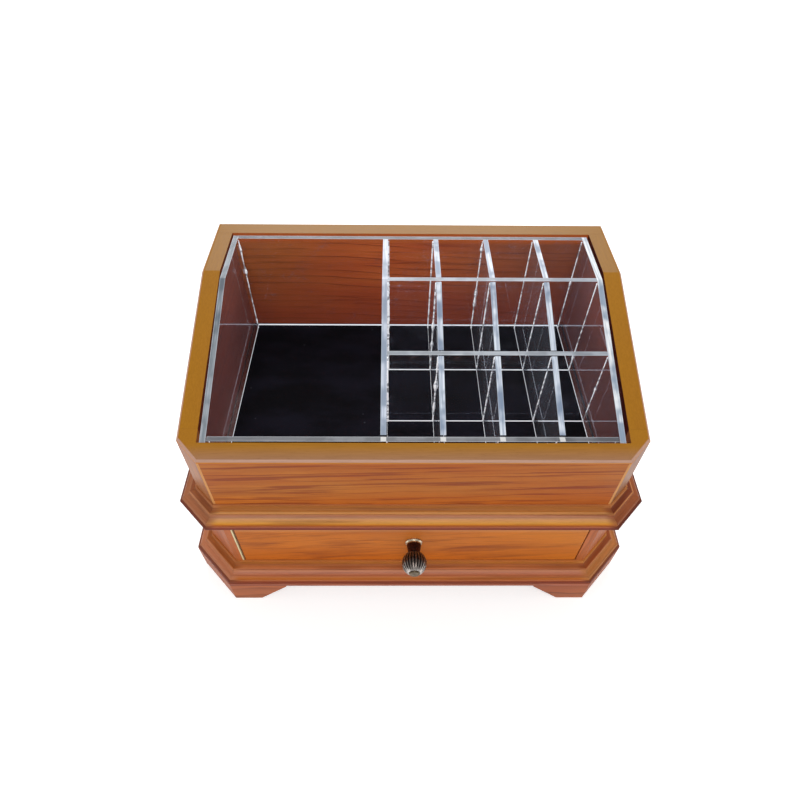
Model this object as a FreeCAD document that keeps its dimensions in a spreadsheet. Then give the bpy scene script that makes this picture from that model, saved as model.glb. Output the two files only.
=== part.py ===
import FreeCAD, Part
import math
import os
import Sketcher

# Vanity box with a clear lift-out insert on top and one drawer below, in millimetres.
# X runs to the right, -Y towards the person in front of the box and Z up. The origin is
# the middle of the box on plan, at the height of the surface that the feet stand on.

doc = FreeCAD.newDocument("vanity_box")
sheet = doc.addObject("Spreadsheet::Sheet", "dims")

# Driving dimensions: name, millimetres, what it measures
DIMENSIONS = (
    ("upper_width", 237.6, "upper case over its side walls"),
    ("upper_depth", 154.9, "upper case, back face to front face"),
    ("wall", 10.7, "thickness of the case sides and the lower front rail"),
    ("front_wall", 9.4, "thickness of the upper front"),
    ("back_wall", 11.4, "thickness of the upper back"),
    ("upper_clip", 11.5, "leg of the 45 degree clip at the upper front corners"),
    ("post_margin", 1.2, "front face of an upper post beside its clip"),
    ("post_return", 4.8, "side face of a post behind its clip"),
    ("rim_back", 71.1, "back rim above the tray floor"),
    ("rim_front", 35.8, "front rim above the tray floor, at the front face"),
    ("rim_flat", 48.9, "level part of the side rims, from the back face"),
    ("rim_round", 2.2, "round on the outer edge of the rim"),
    ("rail_strip", 0.2, "front rail on the front face, below its round"),
    ("side_step", 4.25, "how far the lower case stands out from the upper one, each side"),
    ("front_step", 5.1, "how far the lower case stands out at the front"),
    ("lower_clip", 17.8, "leg of the clip at the lower front corners"),
    ("stile", 4.7, "front face of a lower post beside the drawer"),
    ("lower_back_wall", 8.0, "thickness of the lower back"),
    ("opening_height", 46.5, "drawer opening"),
    ("deck", 6.4, "board between the lower and the upper case"),
    ("floor_board", 5.9, "tray floor board under its lining"),
    ("velvet", 1.0, "pile fabric on the tray floor and in the drawer"),
    ("lining_gap", 0.3, "tray floor to the walls round it"),
    ("foot_height", 18.0, "feet below the base board"),
    ("base_board", 2.6, "bottom board, its edge shows under the base moulding"),
    ("base_proud", 0.2, "base board edge in front of the moulding"),
    ("foot_wall", 9.0, "thickness of a bracket foot"),
    ("foot_flat", 16.5, "foot on the ground, from the end of its clip"),
    ("foot_slope", 17.5, "slanted end of a foot, along the base"),
    ("foot_nick", 1.2, "upright end of a foot above its slant"),
    ("back_foot_flat", 24.0, "back foot on the ground, from the back corner"),
    ("glue_block", 10.0, "side of a block behind a foot"),
    ("glue_block_drop", 14.0, "height of a block behind a foot"),
    ("top_ledge", 0.9, "moulding: level ledge at the wall"),
    ("top_lip", 0.5, "moulding: upright under the ledge"),
    ("cove", 2.4, "moulding: radius of the cove"),
    ("shelf", 1.4, "moulding: level fillet outside the cove"),
    ("shelf_lip", 0.6, "moulding: upright under the fillet"),
    ("ogee", 2.25, "moulding: radius of each half of the ogee"),
    ("nose_ledge", 0.5, "moulding: level step between the ogee and the half round"),
    ("nose", 0.95, "moulding: radius of the half round at its foot"),
    ("side_gap", 0.5, "drawer front to the posts, each side"),
    ("top_gap", 0.6, "drawer front to the deck"),
    ("run_gap", 0.3, "running clearance of the drawer and its stops"),
    ("drawer_face", 10.0, "thickness of the drawer front"),
    ("drawer_side", 7.0, "thickness of the drawer sides"),
    ("drawer_back", 6.0, "thickness of the drawer back"),
    ("drawer_wall", 40.0, "height of the drawer sides"),
    ("rebate", 5.0, "depth of the drawer side in the drawer front"),
    ("drawer_panel", 3.0, "thickness of the drawer bottom"),
    ("groove", 3.0, "depth of the groove that holds the drawer bottom"),
    ("groove_rise", 4.0, "groove above the lower edge of the drawer side"),
    ("drawer_edge", 0.6, "eased edge round the drawer front"),
    ("runner_width", 24.0, "runner under the drawer side, from the case side"),
    ("guide_height", 10.0, "guide beside the drawer side"),
    ("stop_width", 9.0, "stop block behind the drawer"),
    ("stop_height", 6.0, "stop block above its runner"),
    ("stop_length", 8.7, "stop block, from the lower back towards the drawer"),
    ("sheet_thick", 3.0, "clear sheet of the insert"),
    ("insert_height", 71.0, "insert at the back"),
    ("insert_front", 38.1, "insert at its front"),
    ("insert_front_inset", 1.0, "front wall of the insert behind the ends of its sides"),
    ("insert_left_gap", 1.2, "insert to the left wall"),
    ("insert_right_gap", 2.0, "insert to the right wall"),
    ("insert_back_gap", 2.65, "insert to the back wall"),
    ("insert_front_gap", 0.45, "insert to the front wall"),
    ("lap_gap", 0.1, "each side of a sheet in a slot"),
    ("lap_height_back", 35.0, "where the back rail crosses the dividers"),
    ("lap_height_front", 27.0, "where the front rail crosses the dividers"),
    ("knob_height", 53.4, "knob above the ground"),
    ("knob_shift", 1.5, "knob to the right of the middle of the drawer"),
    ("knob_flange", 5.0, "radius of the knob's flange"),
    ("knob_flange_thick", 1.3, "thickness of the flange"),
    ("knob_flange_edge", 0.6, "bevel on the rim of the flange"),
    ("knob_collar", 4.2, "radius of the collar on the flange"),
    ("knob_collar_thick", 0.8, "thickness of the collar"),
    ("knob_neck", 3.3, "radius of the knob's neck"),
    ("knob_ball", 7.0, "radius of the knob's ball"),
    ("knob_reach", 13.0, "centre of the ball from the drawer front"),
    ("knob_end", 3.6, "radius where the ball is cut off"),
    ("knob_button", 3.1, "radius of the end button"),
    ("knob_button_rise", 0.8, "end button above the ball"),
    ("knob_button_edge", 0.4, "bevel on the rim of the button"),
    ("flute_width", 1.3, "width of a flute on the ball"),
    ("flute_floor", 0.6, "width of a flute at its flat floor"),
    ("flute_depth", 0.45, "depth of a flute at the middle of the ball"),
    ("flute_run_out", 1.0, "axis of a flute behind the ball's, so that it runs out"),
    ("screw_radius", 1.5, "shank of the knob's screw"),
    ("screw_hole_gap", 0.2, "screw to its hole in the drawer front"),
    ("screw_depth", 7.0, "screw in the knob"),
    ("screw_head", 3.2, "radius of the screw's head"),
    ("screw_head_thick", 2.2, "thickness of the screw's head"),
)

FLUTES = 24
FLUTE_SWEEP = 108.0
DIVIDERS = 3
OPEN_COLUMNS = 3
# Where the two cross rails stand, from the insert's back wall (0) to its front wall (1)
BACK_RAIL = 0.317
FRONT_RAIL = 0.653

for row, (alias, size, note) in enumerate(DIMENSIONS, start=1):
    sheet.set(f"A{row}", note)
    sheet.set(f"B{row}", str(size))
    sheet.setAlias(f"B{row}", alias)
doc.recompute()

# Places worked out from the driving dimensions, as formulas of the sheet
MOULD_OUT = (
    "(dims.top_ledge + dims.cove + dims.shelf + 2 * dims.ogee + dims.nose_ledge + dims.nose)"
)
MOULD_UP = "(2 * dims.nose + 2 * dims.ogee + dims.shelf_lip + dims.cove + dims.top_lip)"
KNOB_CUT = "(dims.knob_reach + sqrt(dims.knob_ball ^ 2 - dims.knob_end ^ 2))"
KNOB_OUT = f"({KNOB_CUT} + dims.knob_button_rise)"

UPPER_HALF = "(dims.upper_width / 2)"
INNER_HALF = f"({UPPER_HALF} - dims.wall)"
LOWER_HALF = f"({UPPER_HALF} + dims.side_step)"
OPENING_HALF = f"({LOWER_HALF} - dims.lower_clip - dims.stile)"
BASE_HALF = f"({LOWER_HALF} + {MOULD_OUT} + dims.base_proud)"
BASE_CLIP = f"(dims.lower_clip + (2 - sqrt(2)) * ({MOULD_OUT} + dims.base_proud))"

LOWER_DEPTH = "(dims.upper_depth + dims.front_step)"
BACK = f"(({LOWER_DEPTH} + {KNOB_OUT}) / 2)"
UPPER_FRONT = f"({BACK} - dims.upper_depth)"
LOWER_FRONT = f"({BACK} - {LOWER_DEPTH})"
BASE_FRONT = f"({LOWER_FRONT} - {MOULD_OUT} - dims.base_proud)"
UPPER_POST_BACK = f"({UPPER_FRONT} + dims.upper_clip + dims.post_return)"
LOWER_POST_BACK = f"({LOWER_FRONT} + dims.lower_clip + dims.post_return)"

CASE_FLOOR = "(dims.foot_height + dims.base_board)"
OPENING_FLOOR = f"({CASE_FLOOR} + {MOULD_UP})"
OPENING_TOP = f"({OPENING_FLOOR} + dims.opening_height)"
UPPER_FLOOR = f"({OPENING_TOP} + dims.deck)"
TRAY_FLOOR = f"({UPPER_FLOOR} + dims.floor_board + dims.velvet)"
RIM_BACK = f"({TRAY_FLOOR} + dims.rim_back)"
RIM_FRONT = f"({TRAY_FLOOR} + dims.rim_front)"
RIM_SLOPE = "((dims.rim_back - dims.rim_front) / (dims.upper_depth - dims.rim_flat))"
RIM_KINK = f"({BACK} - dims.rim_flat)"

DRAWER_HALF = f"({OPENING_HALF} - dims.side_gap)"
DRAWER_FLOOR = f"({OPENING_FLOOR} + dims.run_gap)"
CASE_REAR = f"({BACK} - dims.lower_back_wall)"
DRAWER_BACK = f"({CASE_REAR} - dims.stop_length - dims.run_gap)"
DRAWER_REAR_FACE = f"({LOWER_FRONT} + dims.drawer_face)"
PANEL_FLOOR = f"({DRAWER_FLOOR} + dims.groove_rise)"
PANEL_TOP = f"({PANEL_FLOOR} + dims.drawer_panel)"

INSERT_LEFT = f"(dims.insert_left_gap - {INNER_HALF})"
INSERT_WIDTH = f"(2 * {INNER_HALF} - dims.insert_left_gap - dims.insert_right_gap)"
COLUMN = f"(({INSERT_WIDTH} - dims.sheet_thick) / {OPEN_COLUMNS + DIVIDERS + 1})"
INSERT_BACK = f"({BACK} - dims.back_wall - dims.insert_back_gap)"
INSERT_FRONT = f"({UPPER_FRONT} + dims.front_wall + dims.insert_front_gap)"
INSERT_FRONT_FACE = f"({INSERT_FRONT} + dims.insert_front_inset)"
INSERT_ROWS = f"({INSERT_BACK} - {INSERT_FRONT_FACE} - dims.sheet_thick)"
INSERT_KINK = f"({INSERT_BACK} - dims.sheet_thick / 2 - {BACK_RAIL} * {INSERT_ROWS})"
INSERT_FRONT_RAIL = f"({INSERT_BACK} - dims.sheet_thick / 2 - {FRONT_RAIL} * {INSERT_ROWS})"
INSERT_SLOPE = (
    f"((dims.insert_height - dims.insert_front) / ({INSERT_KINK} - {INSERT_FRONT}))"
)


def value(formula):
    """The number that a formula of the sheet gives now."""
    return float(sheet.evalExpression(formula))


def place(piece, x="0", y="0", z="0", axis=(0, 0, 1), turn=0.0):
    """Turn a piece about an axis and put its origin at a place given by formulas."""
    rotation = FreeCAD.Rotation(FreeCAD.Vector(*axis), turn)
    piece.Placement = FreeCAD.Placement(FreeCAD.Vector(), rotation)
    for name, formula in (("x", x), ("y", y), ("z", z)):
        piece.setExpression(f"Placement.Base.{name}", formula)


def board(label, x, y, z):
    """Rectangular board between two formulas along each axis."""
    box = doc.addObject("Part::Box", label)
    box.Label = label
    for size, (low, high) in (("Length", x), ("Width", y), ("Height", z)):
        box.setExpression(size, f"({high}) - ({low})")
    place(box, x[0], y[0], z[0])
    return box


def plane_of(body, role):
    """One of the body's own origin planes."""
    return next(item for item in body.Origin.OriginFeatures if item.Role == role)


def new_sketch(body, role):
    sketch = body.newObject("Sketcher::SketchObject", f"{body.Label}_sketch")
    sketch.AttachmentSupport = [(plane_of(body, role), "")]
    sketch.MapMode = "FlatFace"
    return sketch


def arc_between(start, end, radius, turn):
    """Arc of under a half circle, that turns left (1) or right (-1) from start to end."""
    chord = end - start
    middle = (start + end) / 2
    left = FreeCAD.Vector(-chord.y, chord.x, 0).normalize()
    reach = math.sqrt(max(radius ** 2 - (chord.Length / 2) ** 2, 0.0))
    centre = middle + left * reach * turn
    first, last = (start, end) if turn > 0 else (end, start)
    low = math.atan2(first.y - centre.y, first.x - centre.x)
    high = math.atan2(last.y - centre.y, last.x - centre.x)
    if high < low:
        high += 2 * math.pi
    circle = Part.Circle(centre, FreeCAD.Vector(0, 0, 1), radius)
    return Part.ArcOfCircle(circle, low, high)


def draw_outline(sketch, corners):
    """Closed outline through corners (x, y), joined to the corner before by a line, or
    (x, y, radius, turn), joined to it by an arc that turns left (1) or right (-1)."""
    points = [FreeCAD.Vector(value(corner[0]), value(corner[1]), 0) for corner in corners]
    for number, corner in enumerate(corners):
        start = points[number - 1]
        end = points[number]
        if len(corner) == 2:
            sketch.addGeometry(Part.LineSegment(start, end), False)
        else:
            sketch.addGeometry(arc_between(start, end, value(corner[2]), corner[3]), False)
    for number, corner in enumerate(corners):
        following = corners[(number + 1) % len(corners)]
        last = 1 if len(corner) > 2 and corner[3] < 0 else 2
        first = 2 if len(following) > 2 and following[3] < 0 else 1
        after = (number + 1) % len(corners)
        sketch.addConstraint(Sketcher.Constraint("Coincident", number, last, after, first))
        for kind, formula in (("DistanceX", corner[0]), ("DistanceY", corner[1])):
            rule = Sketcher.Constraint(kind, -1, 1, number, last, value(formula))
            sketch.setExpression(f"Constraints[{sketch.addConstraint(rule)}]", formula)
        if len(corner) > 2:
            rule = Sketcher.Constraint("Radius", number, value(corner[2]))
            sketch.setExpression(f"Constraints[{sketch.addConstraint(rule)}]", corner[2])


def draw_circle(sketch, x, y, radius):
    centre = FreeCAD.Vector(value(x), value(y), 0)
    circle = Part.Circle(centre, FreeCAD.Vector(0, 0, 1), value(radius))
    number = sketch.addGeometry(circle, False)
    for kind, formula in (("DistanceX", x), ("DistanceY", y)):
        rule = Sketcher.Constraint(kind, -1, 1, number, 3, value(formula))
        sketch.setExpression(f"Constraints[{sketch.addConstraint(rule)}]", formula)
    rule = Sketcher.Constraint("Radius", number, value(radius))
    sketch.setExpression(f"Constraints[{sketch.addConstraint(rule)}]", radius)


def new_body(label):
    body = doc.addObject("PartDesign::Body", label)
    body.Label = label
    return body


def pad(body, role, corners, length):
    """Pad an outline drawn on an origin plane: XY towards +Z, YZ towards +X, XZ towards -Y."""
    sketch = new_sketch(body, role)
    draw_outline(sketch, corners)
    feature = body.newObject("PartDesign::Pad", f"{body.Label}_pad")
    feature.Profile = sketch
    feature.setExpression("Length", length)
    return feature


def pocket(body, role, corners):
    """Cut an outline on an origin plane through the whole body, both ways."""
    doc.recompute()
    before = body.Shape.Volume
    sketch = new_sketch(body, role)
    draw_outline(sketch, corners)
    finish_pocket(body, sketch, before)


def finish_pocket(body, sketch, before):
    feature = body.newObject("PartDesign::Pocket", f"{body.Label}_pocket")
    feature.Profile = sketch
    feature.Type = "ThroughAll"
    feature.SideType = "Symmetric"
    doc.recompute()
    if body.Shape.Volume >= before:
        raise RuntimeError(f"{body.Label}: a pocket removed nothing")


def round_edges(body, radius, chosen):
    """Fillet the edges of the body's tip whose middle point the function chosen accepts."""
    doc.recompute()
    tip = body.Tip
    before = body.Shape.Volume
    names = []
    for number, edge in enumerate(tip.Shape.Edges, start=1):
        middle = edge.valueAt((edge.FirstParameter + edge.LastParameter) / 2)
        if chosen(middle, edge):
            names.append(f"Edge{number}")
    feature = body.newObject("PartDesign::Fillet", f"{body.Label}_fillet")
    feature.Base = (tip, names)
    feature.setExpression("Radius", radius)
    body.Tip = feature
    doc.recompute()
    if not names or body.Shape.Volume >= before:
        raise RuntimeError(f"{body.Label}: the rim was not rounded")


def near(first, second):
    return abs(first - second) < 1e-4


def clipped_plan(half, back, front, clip):
    """Rectangle on plan with both front corners clipped at 45 degrees."""
    return [
        (f"-{half}", back),
        (f"-{half}", f"{front} + {clip}"),
        (f"{clip} - {half}", front),
        (f"{half} - {clip}", front),
        (half, f"{front} + {clip}"),
        (half, back),
    ]


def rim_level(y):
    """Height of the sloping rim at a distance y along the side."""
    return f"({RIM_FRONT} + ({y} - {UPPER_FRONT}) * {RIM_SLOPE})"


# Mouldings: one profile, run round the upper and the lower case
def moulding_profile():
    """Profile from the wall outwards, as (out, up) formulas, with the foot at zero."""
    nose_end = f"{MOULD_OUT} - dims.nose"
    outline = [("0", "0")]
    outline.append((nose_end, "0"))
    outline.append((MOULD_OUT, "dims.nose", "dims.nose", 1))
    outline.append((nose_end, "2 * dims.nose", "dims.nose", 1))
    outline.append((f"{nose_end} - dims.nose_ledge", "2 * dims.nose"))
    out = f"{nose_end} - dims.nose_ledge - dims.ogee"
    up = "2 * dims.nose + dims.ogee"
    outline.append((out, up, "dims.ogee", 1))
    out = f"{out} - dims.ogee"
    up = f"{up} + dims.ogee"
    outline.append((out, up, "dims.ogee", -1))
    up = f"{up} + dims.shelf_lip"
    outline.append((out, up))
    out = f"{out} - dims.shelf"
    outline.append((out, up))
    out = f"{out} - dims.cove"
    up = f"{up} + dims.cove"
    outline.append((out, up, "dims.cove", -1))
    outline.append((out, MOULD_UP))
    outline.append(("0", MOULD_UP))
    return outline


def moulding_strip(label, run, mitre_start, mitre_end, x, y, z, turn):
    """Length of moulding along its own X, with its wall face at Y zero and its face to -Y.
    x, y and z are where its wall line starts, run is the length of that line."""
    mitre = "tan(22.5)"
    start = f"{MOULD_OUT} * {mitre}" if mitre_start else "0"
    end = f"{MOULD_OUT} * {mitre}" if mitre_end else "0"
    body = new_body(label)
    # The profile turns the other way round, because out points to -Y
    corners = []
    for corner in moulding_profile():
        mirrored = (f"-({corner[0]})",) + corner[1:3]
        corners.append(mirrored + ((-corner[3],) if len(corner) > 3 else ()))
    pad(body, "YZ_Plane", corners, f"{start} + {run} + {end}")
    spare = "1"
    for cut_here, foot, side in (
        (mitre_start, start, -1),
        (mitre_end, f"{start} + {run}", 1),
    ):
        if not cut_here:
            continue
        outer = f"{foot} + ({side}) * ({MOULD_OUT} + {spare}) * {mitre}"
        inner = f"{foot} - ({side}) * {spare} * {mitre}"
        beyond = f"{foot} + ({side}) * ({MOULD_OUT} + 2 * {spare})"
        pocket(body, "XY_Plane", [
            (outer, f"-({MOULD_OUT} + {spare})"),
            (inner, spare),
            (beyond, spare),
            (beyond, f"-({MOULD_OUT} + {spare})"),
        ])
    angle = math.radians(turn)
    place(
        body,
        f"{x} - ({start}) * {math.cos(angle):.9f}",
        f"{y} - ({start}) * {math.sin(angle):.9f}",
        z,
        turn=turn,
    )
    return body


def moulding_run(name, half, front, clip, depth, z):
    """Five mitred lengths round the front of a case: left, corner, front, corner, right."""
    straight = f"({depth} - {clip})"
    moulding_strip(f"{name}_left", straight, False, True, f"-{half}", BACK, z, -90)
    moulding_strip(
        f"{name}_corner_left", f"({clip} * sqrt(2))", True, True,
        f"-{half}", f"{front} + {clip}", z, -45,
    )
    moulding_strip(
        f"{name}_front", f"(2 * ({half} - {clip}))", True, True,
        f"{clip} - {half}", front, z, 0,
    )
    moulding_strip(
        f"{name}_corner_right", f"({clip} * sqrt(2))", True, True,
        f"{half} - {clip}", front, z, 45,
    )
    moulding_strip(
        f"{name}_right", straight, True, False, half, f"{front} + {clip}", z, 90,
    )


# Feet and base board
def slant(body, role, end, toe):
    """Cut the slanted end of a foot arm: end is its far end, toe where it meets the ground."""
    pocket(body, role, [
        (end, "0"),
        (toe, "0"),
        (end, "dims.foot_height - dims.foot_nick"),
    ])


def front_foot(label, side):
    """Bracket foot round a clipped front corner, with a slanted end on each arm."""
    arm = "(dims.foot_flat + dims.foot_slope)"
    inset = "(dims.foot_wall * (sqrt(2) - 1))"
    clip_x = f"({BASE_HALF} - {BASE_CLIP})"
    clip_y = f"({BASE_FRONT} + {BASE_CLIP})"
    plan = [
        (f"{clip_x} - {arm}", BASE_FRONT),
        (clip_x, BASE_FRONT),
        (BASE_HALF, clip_y),
        (BASE_HALF, f"{clip_y} + {arm}"),
        (f"{BASE_HALF} - dims.foot_wall", f"{clip_y} + {arm}"),
        (f"{BASE_HALF} - dims.foot_wall", f"{clip_y} + {inset}"),
        (f"{clip_x} - {inset}", f"{BASE_FRONT} + dims.foot_wall"),
        (f"{clip_x} - {arm}", f"{BASE_FRONT} + dims.foot_wall"),
    ]
    body = new_body(label)
    pad(body, "XY_Plane", [(f"({side}) * ({x})", y) for x, y in plan], "dims.foot_height")
    slant(
        body, "XZ_Plane",
        f"({side}) * ({clip_x} - {arm})", f"({side}) * ({clip_x} - dims.foot_flat)",
    )
    slant(body, "YZ_Plane", f"{clip_y} + {arm}", f"{clip_y} + dims.foot_flat")
    place(body)


def back_foot(label, side):
    """Bracket foot at a square back corner, slanted towards the front."""
    arm = "(dims.back_foot_flat + dims.foot_slope)"
    plan = [
        (BASE_HALF, BACK),
        (f"{BASE_HALF} - dims.back_foot_flat", BACK),
        (f"{BASE_HALF} - dims.back_foot_flat", f"{BACK} - dims.foot_wall"),
        (f"{BASE_HALF} - dims.foot_wall", f"{BACK} - dims.foot_wall"),
        (f"{BASE_HALF} - dims.foot_wall", f"{BACK} - {arm}"),
        (BASE_HALF, f"{BACK} - {arm}"),
    ]
    body = new_body(label)
    pad(body, "XY_Plane", [(f"({side}) * ({x})", y) for x, y in plan], "dims.foot_height")
    slant(body, "YZ_Plane", f"{BACK} - {arm}", f"{BACK} - dims.back_foot_flat")
    place(body)


def glue_blocks():
    """A small block behind each foot, against its wall and the base board."""
    levels = ("dims.foot_height - dims.glue_block_drop", "dims.foot_height")
    front_x = f"({BASE_HALF} - {BASE_CLIP} - dims.foot_wall * (sqrt(2) - 1))"
    back_x = f"({BASE_HALF} - dims.foot_wall)"
    front_y = f"({BASE_FRONT} + dims.foot_wall)"
    back_y = f"({BACK} - dims.foot_wall)"
    blocks = []
    for end, x, y in (
        ("front", front_x, (front_y, f"({front_y} + dims.glue_block)")),
        ("back", back_x, (f"({back_y} - dims.glue_block)", back_y)),
    ):
        blocks.append(board(
            f"glue_block_{end}_left",
            (f"(-{x})", f"(dims.glue_block - {x})"), y, levels,
        ))
        blocks.append(board(
            f"glue_block_{end}_right",
            (f"({x} - dims.glue_block)", x), y, levels,
        ))
    group(blocks, "foot_glue_blocks")


def group(pieces, label):
    """Several separate solids under one name."""
    compound = doc.addObject("Part::Compound", label)
    compound.Label = label
    compound.Links = pieces
    place(compound)
    return compound


def base_board():
    body = new_body("base_board")
    pad(body, "XY_Plane", clipped_plan(BASE_HALF, BACK, BASE_FRONT, BASE_CLIP),
        "dims.base_board")
    place(body, z="dims.foot_height")


# Lower case with the drawer opening
def lower_post(label, side):
    """Front corner post with a broad clip, beside the drawer."""
    plan = [
        (OPENING_HALF, LOWER_FRONT),
        (f"{LOWER_HALF} - dims.lower_clip", LOWER_FRONT),
        (LOWER_HALF, f"{LOWER_FRONT} + dims.lower_clip"),
        (LOWER_HALF, LOWER_POST_BACK),
        (OPENING_HALF, LOWER_POST_BACK),
    ]
    body = new_body(label)
    pad(body, "XY_Plane", [(f"({side}) * ({x})", y) for x, y in plan],
        f"{OPENING_TOP} - {CASE_FLOOR}")
    place(body, z=CASE_FLOOR)


def across(side, near_half, far_half):
    """Span along X between two half widths, on the left (-1) or the right (1)."""
    if side > 0:
        return near_half, far_half
    return f"(-{far_half})", f"(-{near_half})"


def lower_case():
    levels = (CASE_FLOOR, OPENING_TOP)
    inside = f"({LOWER_HALF} - dims.wall)"
    length = (LOWER_POST_BACK, CASE_REAR)
    stops = []
    for side, hand in ((-1, "left"), (1, "right")):
        lower_post(f"lower_post_{hand}", side)
        board(f"lower_side_{hand}", across(side, inside, LOWER_HALF),
              (LOWER_POST_BACK, BACK), levels)
        board(f"drawer_runner_{hand}",
              across(side, f"({inside} - dims.runner_width)", inside),
              length, (CASE_FLOOR, OPENING_FLOOR))
        board(f"drawer_guide_{hand}", across(side, OPENING_HALF, inside),
              length, (OPENING_FLOOR, f"({OPENING_FLOOR} + dims.guide_height)"))
        stops.append(board(
            f"drawer_stop_{hand}",
            across(side, f"({OPENING_HALF} - dims.stop_width)", OPENING_HALF),
            (f"({CASE_REAR} - dims.stop_length)", CASE_REAR),
            (OPENING_FLOOR, f"({OPENING_FLOOR} + dims.stop_height)"),
        ))
    group(stops, "drawer_stop_blocks")
    board("lower_back", (f"(-{inside})", inside), (CASE_REAR, BACK), levels)
    board("lower_front_rail", (f"(-{OPENING_HALF})", OPENING_HALF),
          (LOWER_FRONT, f"({LOWER_FRONT} + dims.wall)"), (CASE_FLOOR, OPENING_FLOOR))


def deck_board():
    body = new_body("deck_board")
    pad(body, "XY_Plane", clipped_plan(UPPER_HALF, BACK, UPPER_FRONT, "dims.upper_clip"),
        "dims.deck")
    place(body, z=OPENING_TOP)


# Upper case
def upper_post(label, side):
    """Front corner post with a clip, cut to the slope of the rim and rounded over."""
    inner = f"({UPPER_HALF} - dims.upper_clip - dims.post_margin)"
    plan = [
        (inner, UPPER_FRONT),
        (f"{UPPER_HALF} - dims.upper_clip", UPPER_FRONT),
        (UPPER_HALF, f"{UPPER_FRONT} + dims.upper_clip"),
        (UPPER_HALF, UPPER_POST_BACK),
        (INNER_HALF, UPPER_POST_BACK),
        (INNER_HALF, f"{UPPER_FRONT} + dims.front_wall"),
        (inner, f"{UPPER_FRONT} + dims.front_wall"),
    ]
    body = new_body(label)
    tall = rim_level(UPPER_POST_BACK)
    pad(body, "XY_Plane", [(f"({side}) * ({x})", y) for x, y in plan],
        f"{tall} - {UPPER_FLOOR}")
    pocket(body, "YZ_Plane", [
        (UPPER_FRONT, f"{rim_level(UPPER_FRONT)} - {UPPER_FLOOR}"),
        (UPPER_POST_BACK, f"{tall} - {UPPER_FLOOR}"),
        (UPPER_FRONT, f"{tall} - {UPPER_FLOOR}"),
    ])
    low = value(f"{rim_level(UPPER_FRONT)} - {UPPER_FLOOR}")
    half = value(UPPER_HALF)
    front = value(UPPER_FRONT)
    clip = value("dims.upper_clip")

    def outer_rim(middle, edge):
        on_side = near(abs(middle.x), half)
        on_front = near(middle.y, front)
        on_clip = near(abs(middle.x) - middle.y, half - clip - front)
        level = middle.z > low - 1e-4 and edge.BoundBox.ZLength < 0.9 * low
        return level and (on_side or on_front or on_clip)

    round_edges(body, "dims.rim_round", outer_rim)
    place(body, z=UPPER_FLOOR)


def upper_side(label, side):
    """Side wall, level at the back and sloping down to its post."""
    rear = f"({BACK} - dims.back_wall)"
    body = new_body(label)
    pad(body, "YZ_Plane", [
        (UPPER_POST_BACK, UPPER_FLOOR),
        (rear, UPPER_FLOOR),
        (rear, RIM_BACK),
        (RIM_KINK, RIM_BACK),
        (UPPER_POST_BACK, rim_level(UPPER_POST_BACK)),
    ], "dims.wall")
    low = value(rim_level(UPPER_POST_BACK))
    outer_face = 0.0 if side < 0 else value("dims.wall")

    def outer_rim(middle, edge):
        level = middle.z > low and edge.BoundBox.YLength > 1.0
        return level and near(middle.x, outer_face)

    round_edges(body, "dims.rim_round", outer_rim)
    place(body, x=across(side, INNER_HALF, UPPER_HALF)[0])


def upper_back():
    """Back wall over the full width, with its outer rim rounded over."""
    body = new_body("upper_back_wall")
    pad(body, "XZ_Plane", [
        (f"-{UPPER_HALF}", UPPER_FLOOR),
        (UPPER_HALF, UPPER_FLOOR),
        (UPPER_HALF, RIM_BACK),
        (f"-{UPPER_HALF}", RIM_BACK),
    ], "dims.back_wall")
    top = value(RIM_BACK)
    half = value(UPPER_HALF)

    def outer_rim(middle, edge):
        outer = near(middle.y, 0.0) or near(abs(middle.x), half)
        return near(middle.z, top) and outer

    round_edges(body, "dims.rim_round", outer_rim)
    place(body, y=BACK)


def upper_front():
    """Front panel under a rounded rail that carries the slope of the rim."""
    half = f"({UPPER_HALF} - dims.upper_clip - dims.post_margin)"
    rail_floor = f"({RIM_FRONT} - dims.rim_round - dims.rail_strip)"
    rear = f"({UPPER_FRONT} + dims.front_wall)"
    board("upper_front_panel", (f"(-{half})", half), (UPPER_FRONT, rear),
          (UPPER_FLOOR, rail_floor))
    body = new_body("upper_front_rail")
    pad(body, "YZ_Plane", [
        (UPPER_FRONT, rail_floor),
        (rear, rail_floor),
        (rear, rim_level(rear)),
        (UPPER_FRONT, RIM_FRONT),
    ], f"2 * {half}")
    front = value(UPPER_FRONT)
    top = value(RIM_FRONT)
    round_edges(body, "dims.rim_round",
                lambda middle, edge: near(middle.y, front) and near(middle.z, top))
    place(body, x=f"-{half}")


def tray_floor():
    half = f"({INNER_HALF} - dims.lining_gap)"
    span = (f"({UPPER_FRONT} + dims.front_wall + dims.lining_gap)",
            f"({BACK} - dims.back_wall - dims.lining_gap)")
    board_top = f"({UPPER_FLOOR} + dims.floor_board)"
    board("tray_floor_board", (f"(-{half})", half), span, (UPPER_FLOOR, board_top))
    board("tray_velvet", (f"(-{half})", half), span, (board_top, TRAY_FLOOR))


# Clear insert
def insert_level(y):
    """Top edge of the insert at y, in front of its kink."""
    return f"(dims.insert_height - ({INSERT_KINK} - {y}) * {INSERT_SLOPE})"


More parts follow.
